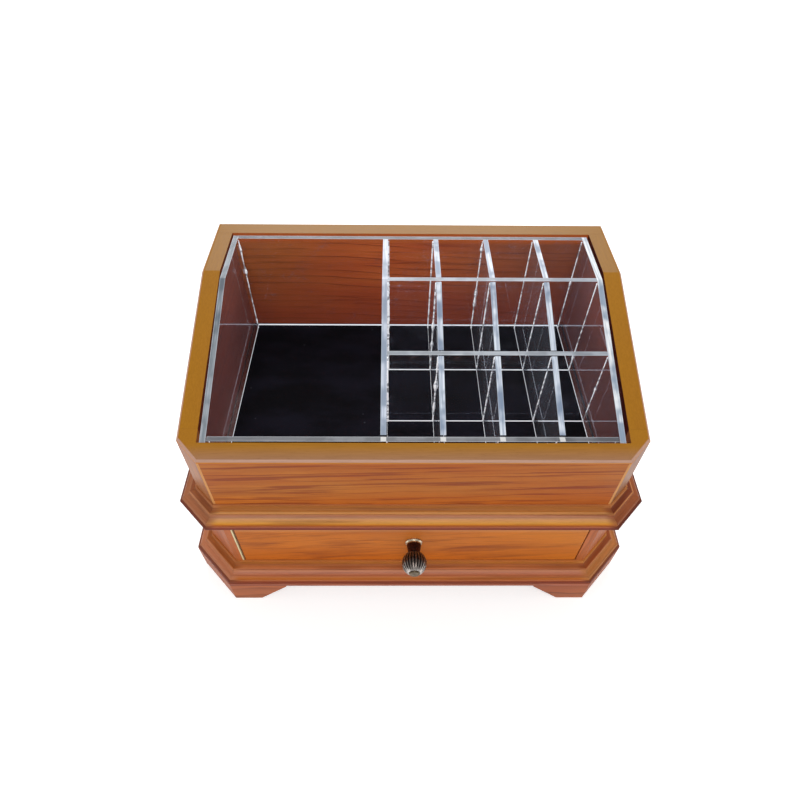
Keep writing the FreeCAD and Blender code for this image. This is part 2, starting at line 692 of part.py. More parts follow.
def kinked_sheet(label, column, back, front, slots=()):
    """Sheet across the slope, centred on a column line. A slot is (centre, floor)."""
    corners = [(back, "0"), (back, "dims.insert_height")]
    half = "(dims.sheet_thick / 2 + dims.lap_gap)"
    for centre, floor in slots:
        behind = f"({centre} + {half})"
        ahead = f"({centre} - {half})"
        at_kink = centre == INSERT_KINK
        corners.append((behind, "dims.insert_height" if at_kink else insert_level(behind)))
        corners.append((behind, floor))
        corners.append((ahead, floor))
        corners.append((ahead, insert_level(ahead)))
    if not slots:
        corners.append((INSERT_KINK, "dims.insert_height"))
    corners.append((front, insert_level(front)))
    corners.append((front, "0"))
    body = new_body(label)
    pad(body, "YZ_Plane", corners, "dims.sheet_thick")
    place(body, x=f"{INSERT_LEFT} + {column} * {COLUMN}", z=TRAY_FLOOR)


def cross_rail(label, row, top, lap):
    """Low sheet across the small compartments, slotted from below over the dividers."""
    first = f"({INSERT_LEFT} + {OPEN_COLUMNS} * {COLUMN} + dims.sheet_thick)"
    last = f"({INSERT_LEFT} + {OPEN_COLUMNS + DIVIDERS + 1} * {COLUMN})"
    corners = [(first, "0")]
    for number in range(1, DIVIDERS + 1):
        sheet_left = f"({INSERT_LEFT} + {OPEN_COLUMNS + number} * {COLUMN})"
        left = f"({sheet_left} - dims.lap_gap)"
        right = f"({sheet_left} + dims.sheet_thick + dims.lap_gap)"
        corners += [(left, "0"), (left, lap), (right, lap), (right, "0")]
    corners += [(last, "0"), (last, top), (first, top)]
    body = new_body(label)
    pad(body, "XZ_Plane", corners, "dims.sheet_thick")
    place(body, y=f"{row} + dims.sheet_thick / 2", z=TRAY_FLOOR)


def insert():
    inner_back = f"({INSERT_BACK} - dims.sheet_thick)"
    inner_front = f"({INSERT_FRONT_FACE} + dims.sheet_thick)"
    last = OPEN_COLUMNS + DIVIDERS + 1
    kinked_sheet("insert_wall_left", 0, INSERT_BACK, INSERT_FRONT)
    kinked_sheet("insert_wall_right", last, INSERT_BACK, INSERT_FRONT)
    kinked_sheet("insert_main_divider", OPEN_COLUMNS, inner_back, inner_front)
    slots = (
        (INSERT_KINK, "dims.lap_height_back"),
        (INSERT_FRONT_RAIL, "dims.lap_height_front"),
    )
    for number in range(1, DIVIDERS + 1):
        kinked_sheet(
            f"insert_divider_{number}", OPEN_COLUMNS + number, inner_back, inner_front, slots,
        )
    cross_rail("insert_rail_back", INSERT_KINK, "dims.insert_height", "dims.lap_height_back")
    cross_rail("insert_rail_front", INSERT_FRONT_RAIL, insert_level(INSERT_FRONT_RAIL),
               "dims.lap_height_front")
    left = f"({INSERT_LEFT} + dims.sheet_thick)"
    right = f"({INSERT_LEFT} + {INSERT_WIDTH} - dims.sheet_thick)"
    board("insert_wall_back", (left, right), (inner_back, INSERT_BACK),
          (TRAY_FLOOR, f"({TRAY_FLOOR} + dims.insert_height)"))
    board("insert_wall_front", (left, right), (INSERT_FRONT_FACE, inner_front),
          (TRAY_FLOOR, f"({TRAY_FLOOR} + dims.insert_front)"))


# Drawer
def drawer_front():
    """Drawer front with rebated ends, a groove for the bottom and the screw's hole."""
    top = f"({OPENING_TOP} - dims.top_gap)"
    inner = f"({DRAWER_HALF} - dims.drawer_side)"
    rebate_face = f"({DRAWER_REAR_FACE} - dims.rebate)"
    body = new_body("drawer_front")
    pad(body, "XY_Plane", [
        (f"-{DRAWER_HALF}", LOWER_FRONT),
        (DRAWER_HALF, LOWER_FRONT),
        (DRAWER_HALF, rebate_face),
        (inner, rebate_face),
        (inner, DRAWER_REAR_FACE),
        (f"-{inner}", DRAWER_REAR_FACE),
        (f"-{inner}", rebate_face),
        (f"-{DRAWER_HALF}", rebate_face),
    ], f"{top} - {DRAWER_FLOOR}")
    front = value(LOWER_FRONT)
    round_edges(body, "dims.drawer_edge", lambda middle, edge: near(middle.y, front))
    pocket(body, "YZ_Plane", [
        (f"{DRAWER_REAR_FACE} - dims.groove", "dims.groove_rise"),
        (f"{DRAWER_REAR_FACE} + 1", "dims.groove_rise"),
        (f"{DRAWER_REAR_FACE} + 1", "dims.groove_rise + dims.drawer_panel"),
        (f"{DRAWER_REAR_FACE} - dims.groove", "dims.groove_rise + dims.drawer_panel"),
    ])
    doc.recompute()
    before = body.Shape.Volume
    sketch = new_sketch(body, "XZ_Plane")
    draw_circle(sketch, "dims.knob_shift", f"dims.knob_height - {DRAWER_FLOOR}",
                "dims.screw_radius + dims.screw_hole_gap")
    finish_pocket(body, sketch, before)
    place(body, z=DRAWER_FLOOR)


def drawer_side(label, side):
    """Drawer side with a groove along its inner face for the bottom."""
    inner = f"({DRAWER_HALF} - dims.drawer_side)"
    grooved = f"({inner} + dims.groove)"
    floor = "dims.groove_rise"
    roof = "(dims.groove_rise + dims.drawer_panel)"
    section = [
        (inner, "0"),
        (DRAWER_HALF, "0"),
        (DRAWER_HALF, "dims.drawer_wall"),
        (inner, "dims.drawer_wall"),
        (inner, roof),
        (grooved, roof),
        (grooved, floor),
        (inner, floor),
    ]
    body = new_body(label)
    front = f"({DRAWER_REAR_FACE} - dims.rebate)"
    pad(body, "XZ_Plane", [(f"({side}) * ({x})", z) for x, z in section],
        f"{DRAWER_BACK} - {front}")
    place(body, y=DRAWER_BACK, z=DRAWER_FLOOR)


def drawer_box():
    for side, hand in ((-1, "left"), (1, "right")):
        drawer_side(f"drawer_side_{hand}", side)
    inner = f"({DRAWER_HALF} - dims.drawer_side)"
    rear_inside = f"({DRAWER_BACK} - dims.drawer_back)"
    board("drawer_back", (f"(-{inner})", inner), (rear_inside, DRAWER_BACK),
          (PANEL_TOP, f"({DRAWER_FLOOR} + dims.drawer_wall)"))
    # The bottom slides in its grooves from behind, under the back. It goes round the
    # front's solid ends, so it is as wide as the grooves only behind the front.
    grooved = f"({inner} + dims.groove)"
    body = new_body("drawer_bottom")
    groove_face = f"({DRAWER_REAR_FACE} - dims.groove)"
    pad(body, "XY_Plane", [
        (f"-{grooved}", DRAWER_BACK),
        (f"-{grooved}", groove_face),
        (grooved, groove_face),
        (grooved, DRAWER_BACK),
    ], "dims.drawer_panel")
    place(body, z=PANEL_FLOOR)
    board("drawer_velvet", (f"(-{inner})", inner), (DRAWER_REAR_FACE, rear_inside),
          (PANEL_TOP, f"({PANEL_TOP} + dims.velvet)"))


def knob():
    """Turned knob: flange, collar, tapered neck, fluted ball and end button.
    It is turned about its own Z and then laid along -Y."""
    flange_top = "dims.knob_flange_thick"
    collar_top = f"({flange_top} + dims.knob_collar_thick)"
    ball_start = "(dims.knob_reach - sqrt(dims.knob_ball ^ 2 - dims.knob_neck ^ 2))"
    body = new_body("knob")
    sketch = new_sketch(body, "XZ_Plane")
    draw_outline(sketch, [
        ("0", "dims.screw_depth"),
        ("dims.screw_radius", "dims.screw_depth"),
        ("dims.screw_radius", "0"),
        ("dims.knob_flange", "0"),
        ("dims.knob_flange", f"{flange_top} - dims.knob_flange_edge"),
        ("dims.knob_flange - dims.knob_flange_edge", flange_top),
        ("dims.knob_collar", flange_top),
        ("dims.knob_collar", collar_top),
        ("dims.knob_neck", ball_start),
        ("dims.knob_end", KNOB_CUT, "dims.knob_ball", 1),
        ("dims.knob_button", KNOB_CUT),
        ("dims.knob_button", f"{KNOB_OUT} - dims.knob_button_edge"),
        ("dims.knob_button - dims.knob_button_edge", KNOB_OUT),
        ("0", KNOB_OUT),
    ])
    turned = body.newObject("PartDesign::Revolution", "knob_turned")
    turned.Profile = sketch
    turned.ReferenceAxis = (sketch, ["V_Axis"])
    turned.Angle = 360
    doc.recompute()
    before = body.Shape.Volume
    # A flute is cut round an axis a little behind the ball's middle, so it is deepest
    # half way along the ball and runs out at the neck and at the button
    cutter = new_sketch(body, "XY_Plane")
    cutter.setExpression("AttachmentOffset.Base.x", "-dims.flute_run_out")
    cutter.setExpression("AttachmentOffset.Base.z", "dims.knob_reach")
    floor = "(dims.knob_ball - dims.flute_depth + dims.flute_run_out)"
    above = "(dims.knob_ball + dims.flute_depth + dims.flute_run_out)"
    half_above = "(dims.flute_width - dims.flute_floor / 2)"
    draw_outline(cutter, [
        (floor, "-dims.flute_floor / 2"),
        (above, f"-{half_above}"),
        (above, half_above),
        (floor, "dims.flute_floor / 2"),
    ])
    flute = body.newObject("PartDesign::Groove", "knob_flute")
    flute.Profile = cutter
    flute.ReferenceAxis = (cutter, ["V_Axis"])
    flute.Angle = FLUTE_SWEEP
    flute.Midplane = True
    doc.recompute()
    if body.Shape.Volume >= before:
        raise RuntimeError("knob: the flute removed nothing")
    flutes = body.newObject("PartDesign::PolarPattern", "knob_flutes")
    flutes.Originals = [flute]
    flutes.Axis = (plane_of(body, "Z_Axis"), [""])
    flutes.Angle = 360
    flutes.Occurrences = FLUTES
    body.Tip = flutes
    place(body, "dims.knob_shift", LOWER_FRONT, "dims.knob_height", (1, 0, 0), 90)


def knob_screw():
    """Screw from inside the drawer, through its front and into the knob."""
    body = new_body("knob_screw")
    sketch = new_sketch(body, "XZ_Plane")
    through = "(dims.drawer_face + dims.screw_depth)"
    draw_outline(sketch, [
        ("0", "-dims.screw_head_thick"),
        ("dims.screw_head", "-dims.screw_head_thick"),
        ("dims.screw_head", "0"),
        ("dims.screw_radius", "0"),
        ("dims.screw_radius", through),
        ("0", through),
    ])
    turned = body.newObject("PartDesign::Revolution", "knob_screw_turned")
    turned.Profile = sketch
    turned.ReferenceAxis = (sketch, ["V_Axis"])
    turned.Angle = 360
    place(body, "dims.knob_shift", DRAWER_REAR_FACE, "dims.knob_height", (1, 0, 0), 90)


def build():
    base_board()
    for side, hand in ((-1, "left"), (1, "right")):
        front_foot(f"foot_front_{hand}", side)
        back_foot(f"foot_back_{hand}", side)
        upper_post(f"upper_post_{hand}", side)
        upper_side(f"upper_side_{hand}", side)
    glue_blocks()
    lower_case()
    moulding_run("base_moulding", LOWER_HALF, LOWER_FRONT, "dims.lower_clip",
                 LOWER_DEPTH, CASE_FLOOR)
    deck_board()
    moulding_run("waist_moulding", UPPER_HALF, UPPER_FRONT, "dims.upper_clip",
                 "dims.upper_depth", OPENING_TOP)
    upper_back()
    upper_front()
    tray_floor()
    insert()
    drawer_front()
    drawer_box()
    knob()
    knob_screw()
    doc.recompute()


def export():
    """Check every object, then write one file for each piece."""
    for item in doc.Objects:
        if "Invalid" in item.State or "Error" in item.State:
            raise RuntimeError(f"{item.Label}: {item.State}")
    grouped = {link for item in doc.Objects if item.TypeId == "Part::Compound"
               for link in item.Links}
    kinds = ("PartDesign::Body", "Part::Box", "Part::Compound")
    pieces = [item for item in doc.Objects if item.TypeId in kinds and item not in grouped]
    for piece in pieces:
        if piece.Shape.isNull() or not piece.Shape.isValid() or not piece.Shape.Solids:
            raise RuntimeError(f"{piece.Label}: no valid shape")
    os.makedirs("parts", exist_ok=True)
    for piece in pieces:
        piece.Shape.exportStep(f"parts/{piece.Label}.step")
    print(len(pieces), "pieces")


build()
export()
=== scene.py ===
import math

import bmesh
import bpy
from mathutils import Matrix, Vector, noise


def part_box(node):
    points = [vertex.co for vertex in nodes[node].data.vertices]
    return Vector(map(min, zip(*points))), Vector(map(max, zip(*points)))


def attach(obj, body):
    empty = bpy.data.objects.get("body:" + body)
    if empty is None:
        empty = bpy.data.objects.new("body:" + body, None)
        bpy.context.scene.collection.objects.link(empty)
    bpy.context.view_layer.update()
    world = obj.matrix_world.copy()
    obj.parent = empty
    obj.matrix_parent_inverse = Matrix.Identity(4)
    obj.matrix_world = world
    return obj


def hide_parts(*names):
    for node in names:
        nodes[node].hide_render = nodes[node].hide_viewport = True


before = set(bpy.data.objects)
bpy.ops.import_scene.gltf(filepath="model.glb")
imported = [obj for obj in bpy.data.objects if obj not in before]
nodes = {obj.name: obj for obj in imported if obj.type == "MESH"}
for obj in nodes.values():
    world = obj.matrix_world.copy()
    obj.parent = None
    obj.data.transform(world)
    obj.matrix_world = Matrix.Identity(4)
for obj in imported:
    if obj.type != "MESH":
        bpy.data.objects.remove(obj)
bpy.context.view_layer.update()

# Camera, solved from the box's level edges and mitres in the photograph
FOCAL_PIXELS = 580.46
FRAME_PIXELS = 800
SENSOR = 36.0
PITCH = 0.851714
YAW = 0.0153242
ROLL = 0.0140004
CAMERA_PLACE = Vector((-0.01007, -0.22928, 0.35997))

# Heights of the tray's lining and of the level rim, y of the front rail's back and front,
# height of the rim at the front, and y where the level rim starts to slope
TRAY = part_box("tray_velvet")[1].z
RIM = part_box("upper_back_wall")[1].z
RAIL_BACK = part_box("upper_front_rail")[1].y
UPPER_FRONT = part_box("upper_front_rail")[0].y
FRONT_RIM = 0.1261
KINK = 0.041


def camera():
    """Camera at the photograph's place, with its right, up and forward axes."""
    lens = bpy.data.cameras.new("camera")
    lens.sensor_width = SENSOR
    lens.lens = FOCAL_PIXELS / FRAME_PIXELS * SENSOR
    lens.clip_start = 0.01
    holder = bpy.data.objects.new("camera", lens)
    bpy.context.scene.collection.objects.link(holder)
    sine, cosine = math.sin(PITCH), math.cos(PITCH)
    tilt = Matrix(((1, 0, 0), (0, sine, cosine), (0, cosine, -sine)))
    turn = Matrix.Rotation(YAW, 3, "Z")
    roll = Matrix.Rotation(-ROLL, 3, "Z")
    right, up, forward = roll @ tilt @ turn
    holder.matrix_world = Matrix((
        (right.x, up.x, -forward.x, CAMERA_PLACE.x),
        (right.y, up.y, -forward.y, CAMERA_PLACE.y),
        (right.z, up.z, -forward.z, CAMERA_PLACE.z),
        (0, 0, 0, 1),
    ))
    bpy.context.scene.camera = holder


def add_object(name, mesh, smooth=False):
    """A new object in the scene that takes over a bmesh."""
    data = bpy.data.meshes.new(name)
    mesh.to_mesh(data)
    mesh.free()
    for face in data.polygons:
        face.use_smooth = smooth
    piece = bpy.data.objects.new(name, data)
    bpy.context.scene.collection.objects.link(piece)
    return piece


def linear(red, green, blue):
    """Colour given as 0 to 255 on screen, as the shader wants it."""
    made = []
    for part in (red, green, blue):
        part /= 255
        made.append(part / 12.92 if part <= 0.04045 else ((part + 0.055) / 1.055) ** 2.4)
    return (*made, 1.0)


class Shader:
    """Small helper that adds nodes to one material and joins them."""

    def __init__(self, name):
        self.material = bpy.data.materials.new(name)
        self.material.use_nodes = True
        self.tree = self.material.node_tree
        self.main = self.tree.nodes["Principled BSDF"]
        self.out = self.tree.nodes["Material Output"]

    def add(self, kind, settings=(), **inputs):
        """A node of a kind, with settings as attributes and inputs as values or sockets."""
        made = self.tree.nodes.new(kind)
        for name, setting in dict(settings).items():
            setattr(made, name, setting)
        for name, given in inputs.items():
            self.give(made, name, given)
        return made

    def give(self, node, name, given):
        """Set an input, named or numbered (i0, i1 ...), to a value or join it to a socket."""
        place = int(name[1:]) if name[0] == "i" and name[1:].isdigit() else None
        target = node.inputs[name.replace("_", " ") if place is None else place]
        if isinstance(given, bpy.types.NodeSocket):
            self.tree.links.new(given, target)
        else:
            target.default_value = given

    def math(self, operation, first, second=0.0, clamp=False):
        """One sum of one or two numbers, named as Blender names it."""
        made = self.add("ShaderNodeMath", {"operation": operation, "use_clamp": clamp},
                        i0=first, i1=second)
        return made.outputs[0]

    def plus(self, first, second):
        return self.math("ADD", first, second)

    def minus(self, first, second):
        return self.math("SUBTRACT", first, second)

    def times(self, first, second):
        return self.math("MULTIPLY", first, second)

    def larger(self, first, second):
        return self.math("MAXIMUM", first, second)

    def between(self, value, low, high, low_out=0.0, high_out=1.0):
        """Smooth step from low_out to high_out as the value goes from low to high."""
        made = self.add("ShaderNodeMapRange", {"interpolation_type": "SMOOTHSTEP"},
                        Value=value, From_Min=low, From_Max=high,
                        To_Min=low_out, To_Max=high_out)
        return made.outputs[0]

    def mix(self, share, first, second, blend="MIX"):
        """First colour at a share of 0, second at a share of 1."""
        made = self.add("ShaderNodeMix", {"data_type": "RGBA", "blend_type": blend},
                        i0=share, i6=first, i7=second)
        return made.outputs[2]

    def ramp(self, value, stops):
        """Colour along a row of (place, colour) stops."""
        made = self.add("ShaderNodeValToRGB", Fac=value)
        elements = made.color_ramp.elements
        elements.remove(elements[1])
        elements[0].position, elements[0].color = stops[0]
        for position, colour in stops[1:]:
            elements.new(position).color = colour
        return made.outputs["Color"]

    def noise(self, vector, scale, detail, roughness=0.5):
        """Even cloudy noise, scale being its steps to the metre."""
        made = self.add("ShaderNodeTexNoise", Vector=vector, Scale=scale, Detail=detail,
                        Roughness=roughness)
        return made.outputs["Fac"]

    def figure(self, vector, scale, detail, roughness=0.5):
        """Noise that is drawn out, with its own steps to the metre along each axis."""
        drawn = self.add("ShaderNodeMapping", Vector=vector, Scale=scale)
        return self.noise(drawn.outputs[0], 1.0, detail, roughness)

    def bump(self, height, distance, strength, normal=None):
        """Normal of a surface that is this rough, over another normal if there is one."""
        made = self.add("ShaderNodeBump", Height=height, Distance=distance,
                        Strength=strength)
        if normal is not None:
            self.give(made, "Normal", normal)
        return made.outputs[0]

    def place(self):
        """Where a point lies in its piece, which at rest is its place in the frame."""
        return self.add("ShaderNodeTexCoord").outputs["Object"]

    def place_axes(self):
        """The same place as x, y and z."""
        return self.add("ShaderNodeSeparateXYZ", Vector=self.place()).outputs

    def face_axes(self):
        """Which way a face looks, as x, y and z from -1 to 1."""
        normal = self.add("ShaderNodeTexCoord").outputs["Normal"]
        return self.add("ShaderNodeSeparateXYZ", Vector=normal).outputs


# Wood: the turn that brings a board's length onto x, and its tones
TURNS = {"x": 0.0, "y": -math.pi / 2, "left": math.pi / 4, "right": -math.pi / 4}
BROWN = linear(112, 52, 24)
ORANGE = dict(light=linear(203, 116, 48), middle=linear(182, 96, 40), dark=BROWN)
PALE = dict(light=linear(206, 178, 138), middle=linear(190, 156, 112), dark=linear(140, 104, 66))
FOOT = dict(light=linear(190, 106, 62), middle=linear(172, 90, 52), dark=BROWN)
STRIP = dict(light=linear(186, 104, 74), middle=linear(164, 84, 58), dark=BROWN)
PANEL = dict(light=linear(196, 124, 54), middle=linear(184, 102, 42), dark=linear(124, 46, 30))
DRAWER = dict(light=linear(212, 122, 48), middle=linear(194, 102, 38), dark=linear(134, 62, 36))
INNER = dict(light=linear(214, 112, 56), middle=linear(196, 92, 48), dark=linear(96, 34, 24))
INNER_SIDE = dict(light=linear(176, 80, 48), middle=linear(150, 66, 42), dark=linear(84, 32, 24))
INNER_LOW = linear(150, 62, 40)
INNER_LEFT = linear(150, 98, 52)
INNER_RIGHT = linear(122, 80, 68)
# Painted shade on the side walls' inner faces towards the front
INNER_FRONT_SHADE = linear(60, 29, 26)
# Painted sky reflection on the level rim, in two cloudy tones
RIM_FLAT_WITH_REFLECTION = linear(152, 107, 46)
RIM_FLAT_CLOUD_WITH_REFLECTION = linear(154, 106, 46)
RIM_SLOPE = linear(161, 107, 18)
RIM_SLOPE_CLOUD = linear(154, 98, 24)
RIM_SLOPE_OUTER = linear(156, 112, 78)
# Painted highlights on the rim's round: pale on its middle, orange where it turns down
RIM_ROUND_HIGHLIGHT = linear(196, 153, 132)
RIM_UNDER_HIGHLIGHT = linear(200, 124, 32)
RIM_SHINE = linear(215, 245, 255)
LOW_GLOW = linear(206, 104, 20)
RED_SIDE = linear(172, 78, 24)
SUNNY_SIDE = linear(218, 132, 42)
# Painted highlight along the drawer's top; painted shadow down its left arris
PAINTED_TOP_HIGHLIGHT = linear(220, 160, 110)
SHADOWED_ARRIS = linear(26, 20, 18)
# Painted highlight on the upper posts' narrow front margin
MARGIN_HIGHLIGHT = linear(222, 158, 92)
RAW_EDGE = linear(236, 222, 176)


class Grain:
    """Growth rings, fibres and pores of one board, as shares that materials mix with."""

    def __init__(self, shader, along, seed, spacing, slope=0.0, waver=1.0):
        """along is the board's length, spacing that of its rings in mm, slope how much
        they climb along it and waver how much they wander."""
        self.shader = shader
        board = self.laid_along_x(along, seed)
        u, v, w = shader.add("ShaderNodeSeparateXYZ", Vector=board).outputs
        across = shader.plus(w, shader.times(v, 0.55))
        across = shader.plus(across, shader.times(u, slope))
        climbing = shader.add("ShaderNodeCombineXYZ", i0=u, i1=0.0, i2=across).outputs[0]
        slow = shader.figure(board, (5, 16, 16), 2)
        quick = shader.figure(board, (28, 70, 70), 2)
        phase = shader.times(across, 1000.0 / spacing)
        phase = shader.plus(phase, shader.times(slow, 4.2 * waver))
        phase = shader.plus(phase, shader.times(quick, 0.7 * waver))
        self.ring = shader.math("FRACT", phase)
        self.cloud = shader.figure(board, (9, 45, 45), 3)
        self.feather = shader.figure(climbing, (11, 100, 100), 4, 0.62)
        self.lens = shader.figure(climbing, (11, 330, 330), 3)
        self.present = shader.figure(board, (15, 210, 210), 3)
        self.fine = shader.figure(board, (22, 640, 640), 3, 0.6)
        self.fibre = shader.figure(board, (60, 1500, 1500), 3, 0.6)
        self.pore = shader.figure(board, (240, 3200, 3200), 1)

    def laid_along_x(self, along, seed):
        """Places turned so that the board's length is x, and shifted by its seed."""
        turn = (0.0, math.pi / 2, 0.0) if along == "z" else (0.0, 0.0, TURNS[along])
        turned = self.shader.add("ShaderNodeMapping", Vector=self.shader.place(),
                                 Rotation=turn, Location=(seed, seed * 0.37, 0))
        return turned.outputs[0]

    def colour(self, light, middle, dark, line=0.7, soft=0.3, fine=0.25):
        """Wood between three tones. line, soft and fine are the strengths of the thin
        dark end of each ring, of its slow darkening and of the finest streaks."""
        shader = self.shader
        made = shader.mix(shader.between(self.cloud, 0.35, 0.68), light, middle)
        share = shader.times(shader.between(self.ring, 0.15, 0.95), soft)
        made = shader.mix(share, made, dark)
        late = shader.times(shader.between(self.ring, 0.84, 0.96),
                            shader.between(self.present, 0.4, 0.58))
        made = shader.mix(shader.times(late, line), made, dark)
        thin = shader.between(self.fine, 0.54, 0.7)
        return shader.mix(shader.times(thin, fine), made, dark)

    def finish(self, colour, rough, shine, tint=None, softened=True):
        """Fibres and pores over a colour, and lacquer of this roughness and shine over
        them. softened rounds the edges in the light."""
        shader = self.shader
        grey = shader.times(shader.between(self.fibre, 0.3, 0.7, 0.93, 1.05),
                            shader.between(self.pore, 0.62, 0.72, 1.0, 0.86))
        grey = shader.add("ShaderNodeCombineColor", i0=grey, i1=grey, i2=grey).outputs[0]
        shader.give(shader.main, "Base Color", shader.mix(1.0, colour, grey, "MULTIPLY"))
        shader.give(shader.main, "Roughness",
                    shader.between(self.fibre, 0.2, 0.8, rough, rough + 0.12))
        normal = None
        if softened:
            normal = shader.add("ShaderNodeBevel", {"samples": 4}, Radius=0.0005).outputs[0]
        height = shader.plus(shader.times(self.fibre, 0.5), shader.times(self.fine, 0.5))
        shader.give(shader.main, "Normal", shader.bump(height, 0.00006, 0.4, normal))
        shader.main.inputs["Specular IOR Level"].default_value = shine
        if tint is not None:
            shader.main.inputs["Specular Tint"].default_value = tint
        return shader.material


def plain_board(name, along, seed, tones, rough=0.5, shine=0.2):
    """Board without a rim, in stained or raw wood."""
    shader = Shader(name)
    grain = Grain(shader, along, seed, 9.0)
    return grain.finish(grain.colour(**tones), rough, shine)


def low_glow(shader, grain, colour, node):
    """The colour, more orange towards the node's lower edge."""
    low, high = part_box(node)
    z = shader.place_axes()[2]
    share = shader.between(z, low.z, (low.z + high.z) / 2, 1.0, 0.0)
    share = shader.times(share, shader.between(grain.cloud, 0.3, 0.65, 0.8, 0.3))
    return shader.mix(share, colour, LOW_GLOW)


def dark_figure(shader, grain, colour, dark, narrow, broad):
    """The colour with the veneer's narrow and broad dark streaks, by their strengths."""
    lens = shader.between(grain.lens, 0.53, 0.6, 0.0, narrow)
    colour = shader.mix(lens, colour, dark)
    feather = shader.times(shader.between(grain.feather, 0.5, 0.66, 0.0, broad),
                           shader.between(grain.fine, 0.3, 0.6, 0.6, 1.0))
    return shader.mix(feather, colour, dark)


def panel_wood():
    """Panel of the upper front, redder to the right."""
    shader = Shader("wood_panel")
    grain = Grain(shader, "x", 0.13, 6.5, -0.035, 0.8)
    colour = grain.colour(**PANEL, line=0.7, soft=0.12, fine=0.2)
    colour = low_glow(shader, grain, colour, "upper_front_panel")
    x = shader.place_axes()[0]
    colour = shader.mix(shader.between(x, -0.085, 0.0, 0.0, 0.32), colour, RED_SIDE)
    colour = dark_figure(shader, grain, colour, PANEL["dark"], 0.62, 0.25)
    return grain.finish(colour, 0.42, 0.18)


def drawer_wood():
    """Drawer front: sunnier at its right, with a painted highlight along its top, and a painted
    shadow down its left arris, where the gap to the post is widest."""
    low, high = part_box("drawer_front")
    shader = Shader("wood_drawer")
    grain = Grain(shader, "x", 0.71, 13.0, -0.13)
    colour = grain.colour(**DRAWER, line=0.2, soft=0.12, fine=0.3)
    colour = low_glow(shader, grain, colour, "drawer_front")
    colour = dark_figure(shader, grain, colour, DRAWER["dark"], 0.16, 0.62)
    x, _, z = shader.place_axes()
    sunny = shader.times(shader.between(x, 0.02, 0.09, 0.0, 0.45),
                         shader.between(grain.cloud, 0.3, 0.6, 1.0, 0.5))
    colour = shader.mix(sunny, colour, SUNNY_SIDE)
    # Painted highlight along the top
    top_highlight = shader.between(z, high.z - 0.0125, high.z - 0.0095, 0.0, 0.35)
    colour = shader.mix(top_highlight, colour, PAINTED_TOP_HIGHLIGHT)
    # Painted shadow down the left arris, on the faces that look forward
    arris = shader.between(x, low.x + 0.0004, low.x + 0.0009, 0.92, 0.0)
    ahead = shader.between(shader.face_axes()[1], -0.9, -0.7, 1.0, 0.0)
    colour = shader.mix(shader.times(arris, ahead), colour, SHADOWED_ARRIS)
    return grain.finish(colour, 0.42, 0.1)


def rim_over(shader, grain, colour, in_front=False):
    """The colour with the rim's over it: golden on the slope, with a painted sky reflection on
    the level, a painted pale highlight on the round and a painted orange highlight where the
    round turns down, and, in front, browner towards the outside."""
    up = shader.face_axes()[2]
    # Painted highlights on the round, chosen by which way its faces look
    made = shader.mix(shader.between(up, 0.03, 0.12), colour, RIM_UNDER_HIGHLIGHT)
    made = shader.mix(shader.between(up, 0.2, 0.5), made, RIM_ROUND_HIGHLIGHT)
    cloudy = shader.between(grain.cloud, 0.35, 0.7, 0.0, 0.35)
    slope = shader.mix(cloudy, RIM_SLOPE, RIM_SLOPE_CLOUD)
    if in_front:
        y = shader.place_axes()[1]
        slope = shader.mix(shader.between(y, RAIL_BACK, UPPER_FRONT), slope, RIM_SLOPE_OUTER)
    made = shader.mix(shader.between(up, 0.8, 0.93), made, slope)
    # Painted sky reflection on the level rim
    cloudy = shader.between(grain.cloud, 0.35, 0.7, 0.0, 0.5)
    level = shader.mix(cloudy, RIM_FLAT_WITH_REFLECTION, RIM_FLAT_CLOUD_WITH_REFLECTION)
    return shader.mix(shader.between(up, 0.972, 0.985), made, level)


def rail_wood():
    """Rounded rail on the front panel."""
    shader = Shader("wood_rail")
    grain = Grain(shader, "x", 0.4, 5.2, 0.02, 0.8)
    colour = grain.colour(**ORANGE, line=0.4, soft=0.25)
    colour = rim_over(shader, grain, colour, in_front=True)
    return grain.finish(colour, 0.34, 0.2, RIM_SHINE, softened=False)


def wall_wood(name, along, seed, inward, top):
    """Wall with a lacquered rim. inward is the sign, across the wall, of its face to the
    tray, and top the colour of that face's highest few millimetres."""
    shader = Shader(name)
    grain = Grain(shader, along, seed, 5.2, 0.02, 0.8)
    colour = grain.colour(**ORANGE, line=0.4, soft=0.25)
    across = shader.face_axes()[1 if along == "x" else 0]
    facing = shader.between(shader.times(across, inward), 0.6, 0.9)
    colour = shader.mix(facing, colour, inner_face(shader, grain, along, top))
    return grain.finish(rim_over(shader, grain, colour), 0.34, 0.2, RIM_SHINE)


def inner_face(shader, grain, along, top):
    """Colour of a wall's face to the tray: the back one from golden at the left to dull at
    the right, the side ones darker in front with painted shade, all redder below."""
    x, y, z = shader.place_axes()
    if along == "x":
        colour = grain.colour(**INNER, line=0.7, soft=0.12, fine=0.5)
        colour = shader.mix(shader.between(x, -0.1, -0.02, 0.5, 0.0), colour, INNER_LEFT)
        colour = shader.mix(shader.between(x, -0.02, 0.09, 0.0, 0.7), colour, INNER_RIGHT)
    else:
        colour = grain.colour(**INNER_SIDE, line=0.7, soft=0.12, fine=0.5)
        # Painted shade towards the front
        colour = shader.mix(shader.between(y, -0.06, 0.02, 0.8, 0.0), colour, INNER_FRONT_SHADE)
    low = shader.between(z, TRAY, TRAY + 0.06, 0.75, 0.0)
    colour = shader.mix(low, colour, grain.colour(INNER_LOW, INNER_LOW, BROWN, 0.7, 0.1))
    slope = (RIM - FRONT_RIM) / (KINK - UPPER_FRONT)
    rim = shader.plus(shader.times(shader.minus(y, KINK), slope), RIM)
    depth = shader.minus(shader.math("MINIMUM", rim, RIM), z)
    return shader.mix(shader.between(depth, 0.0050, 0.0075, 1.0, 0.0), colour, top)


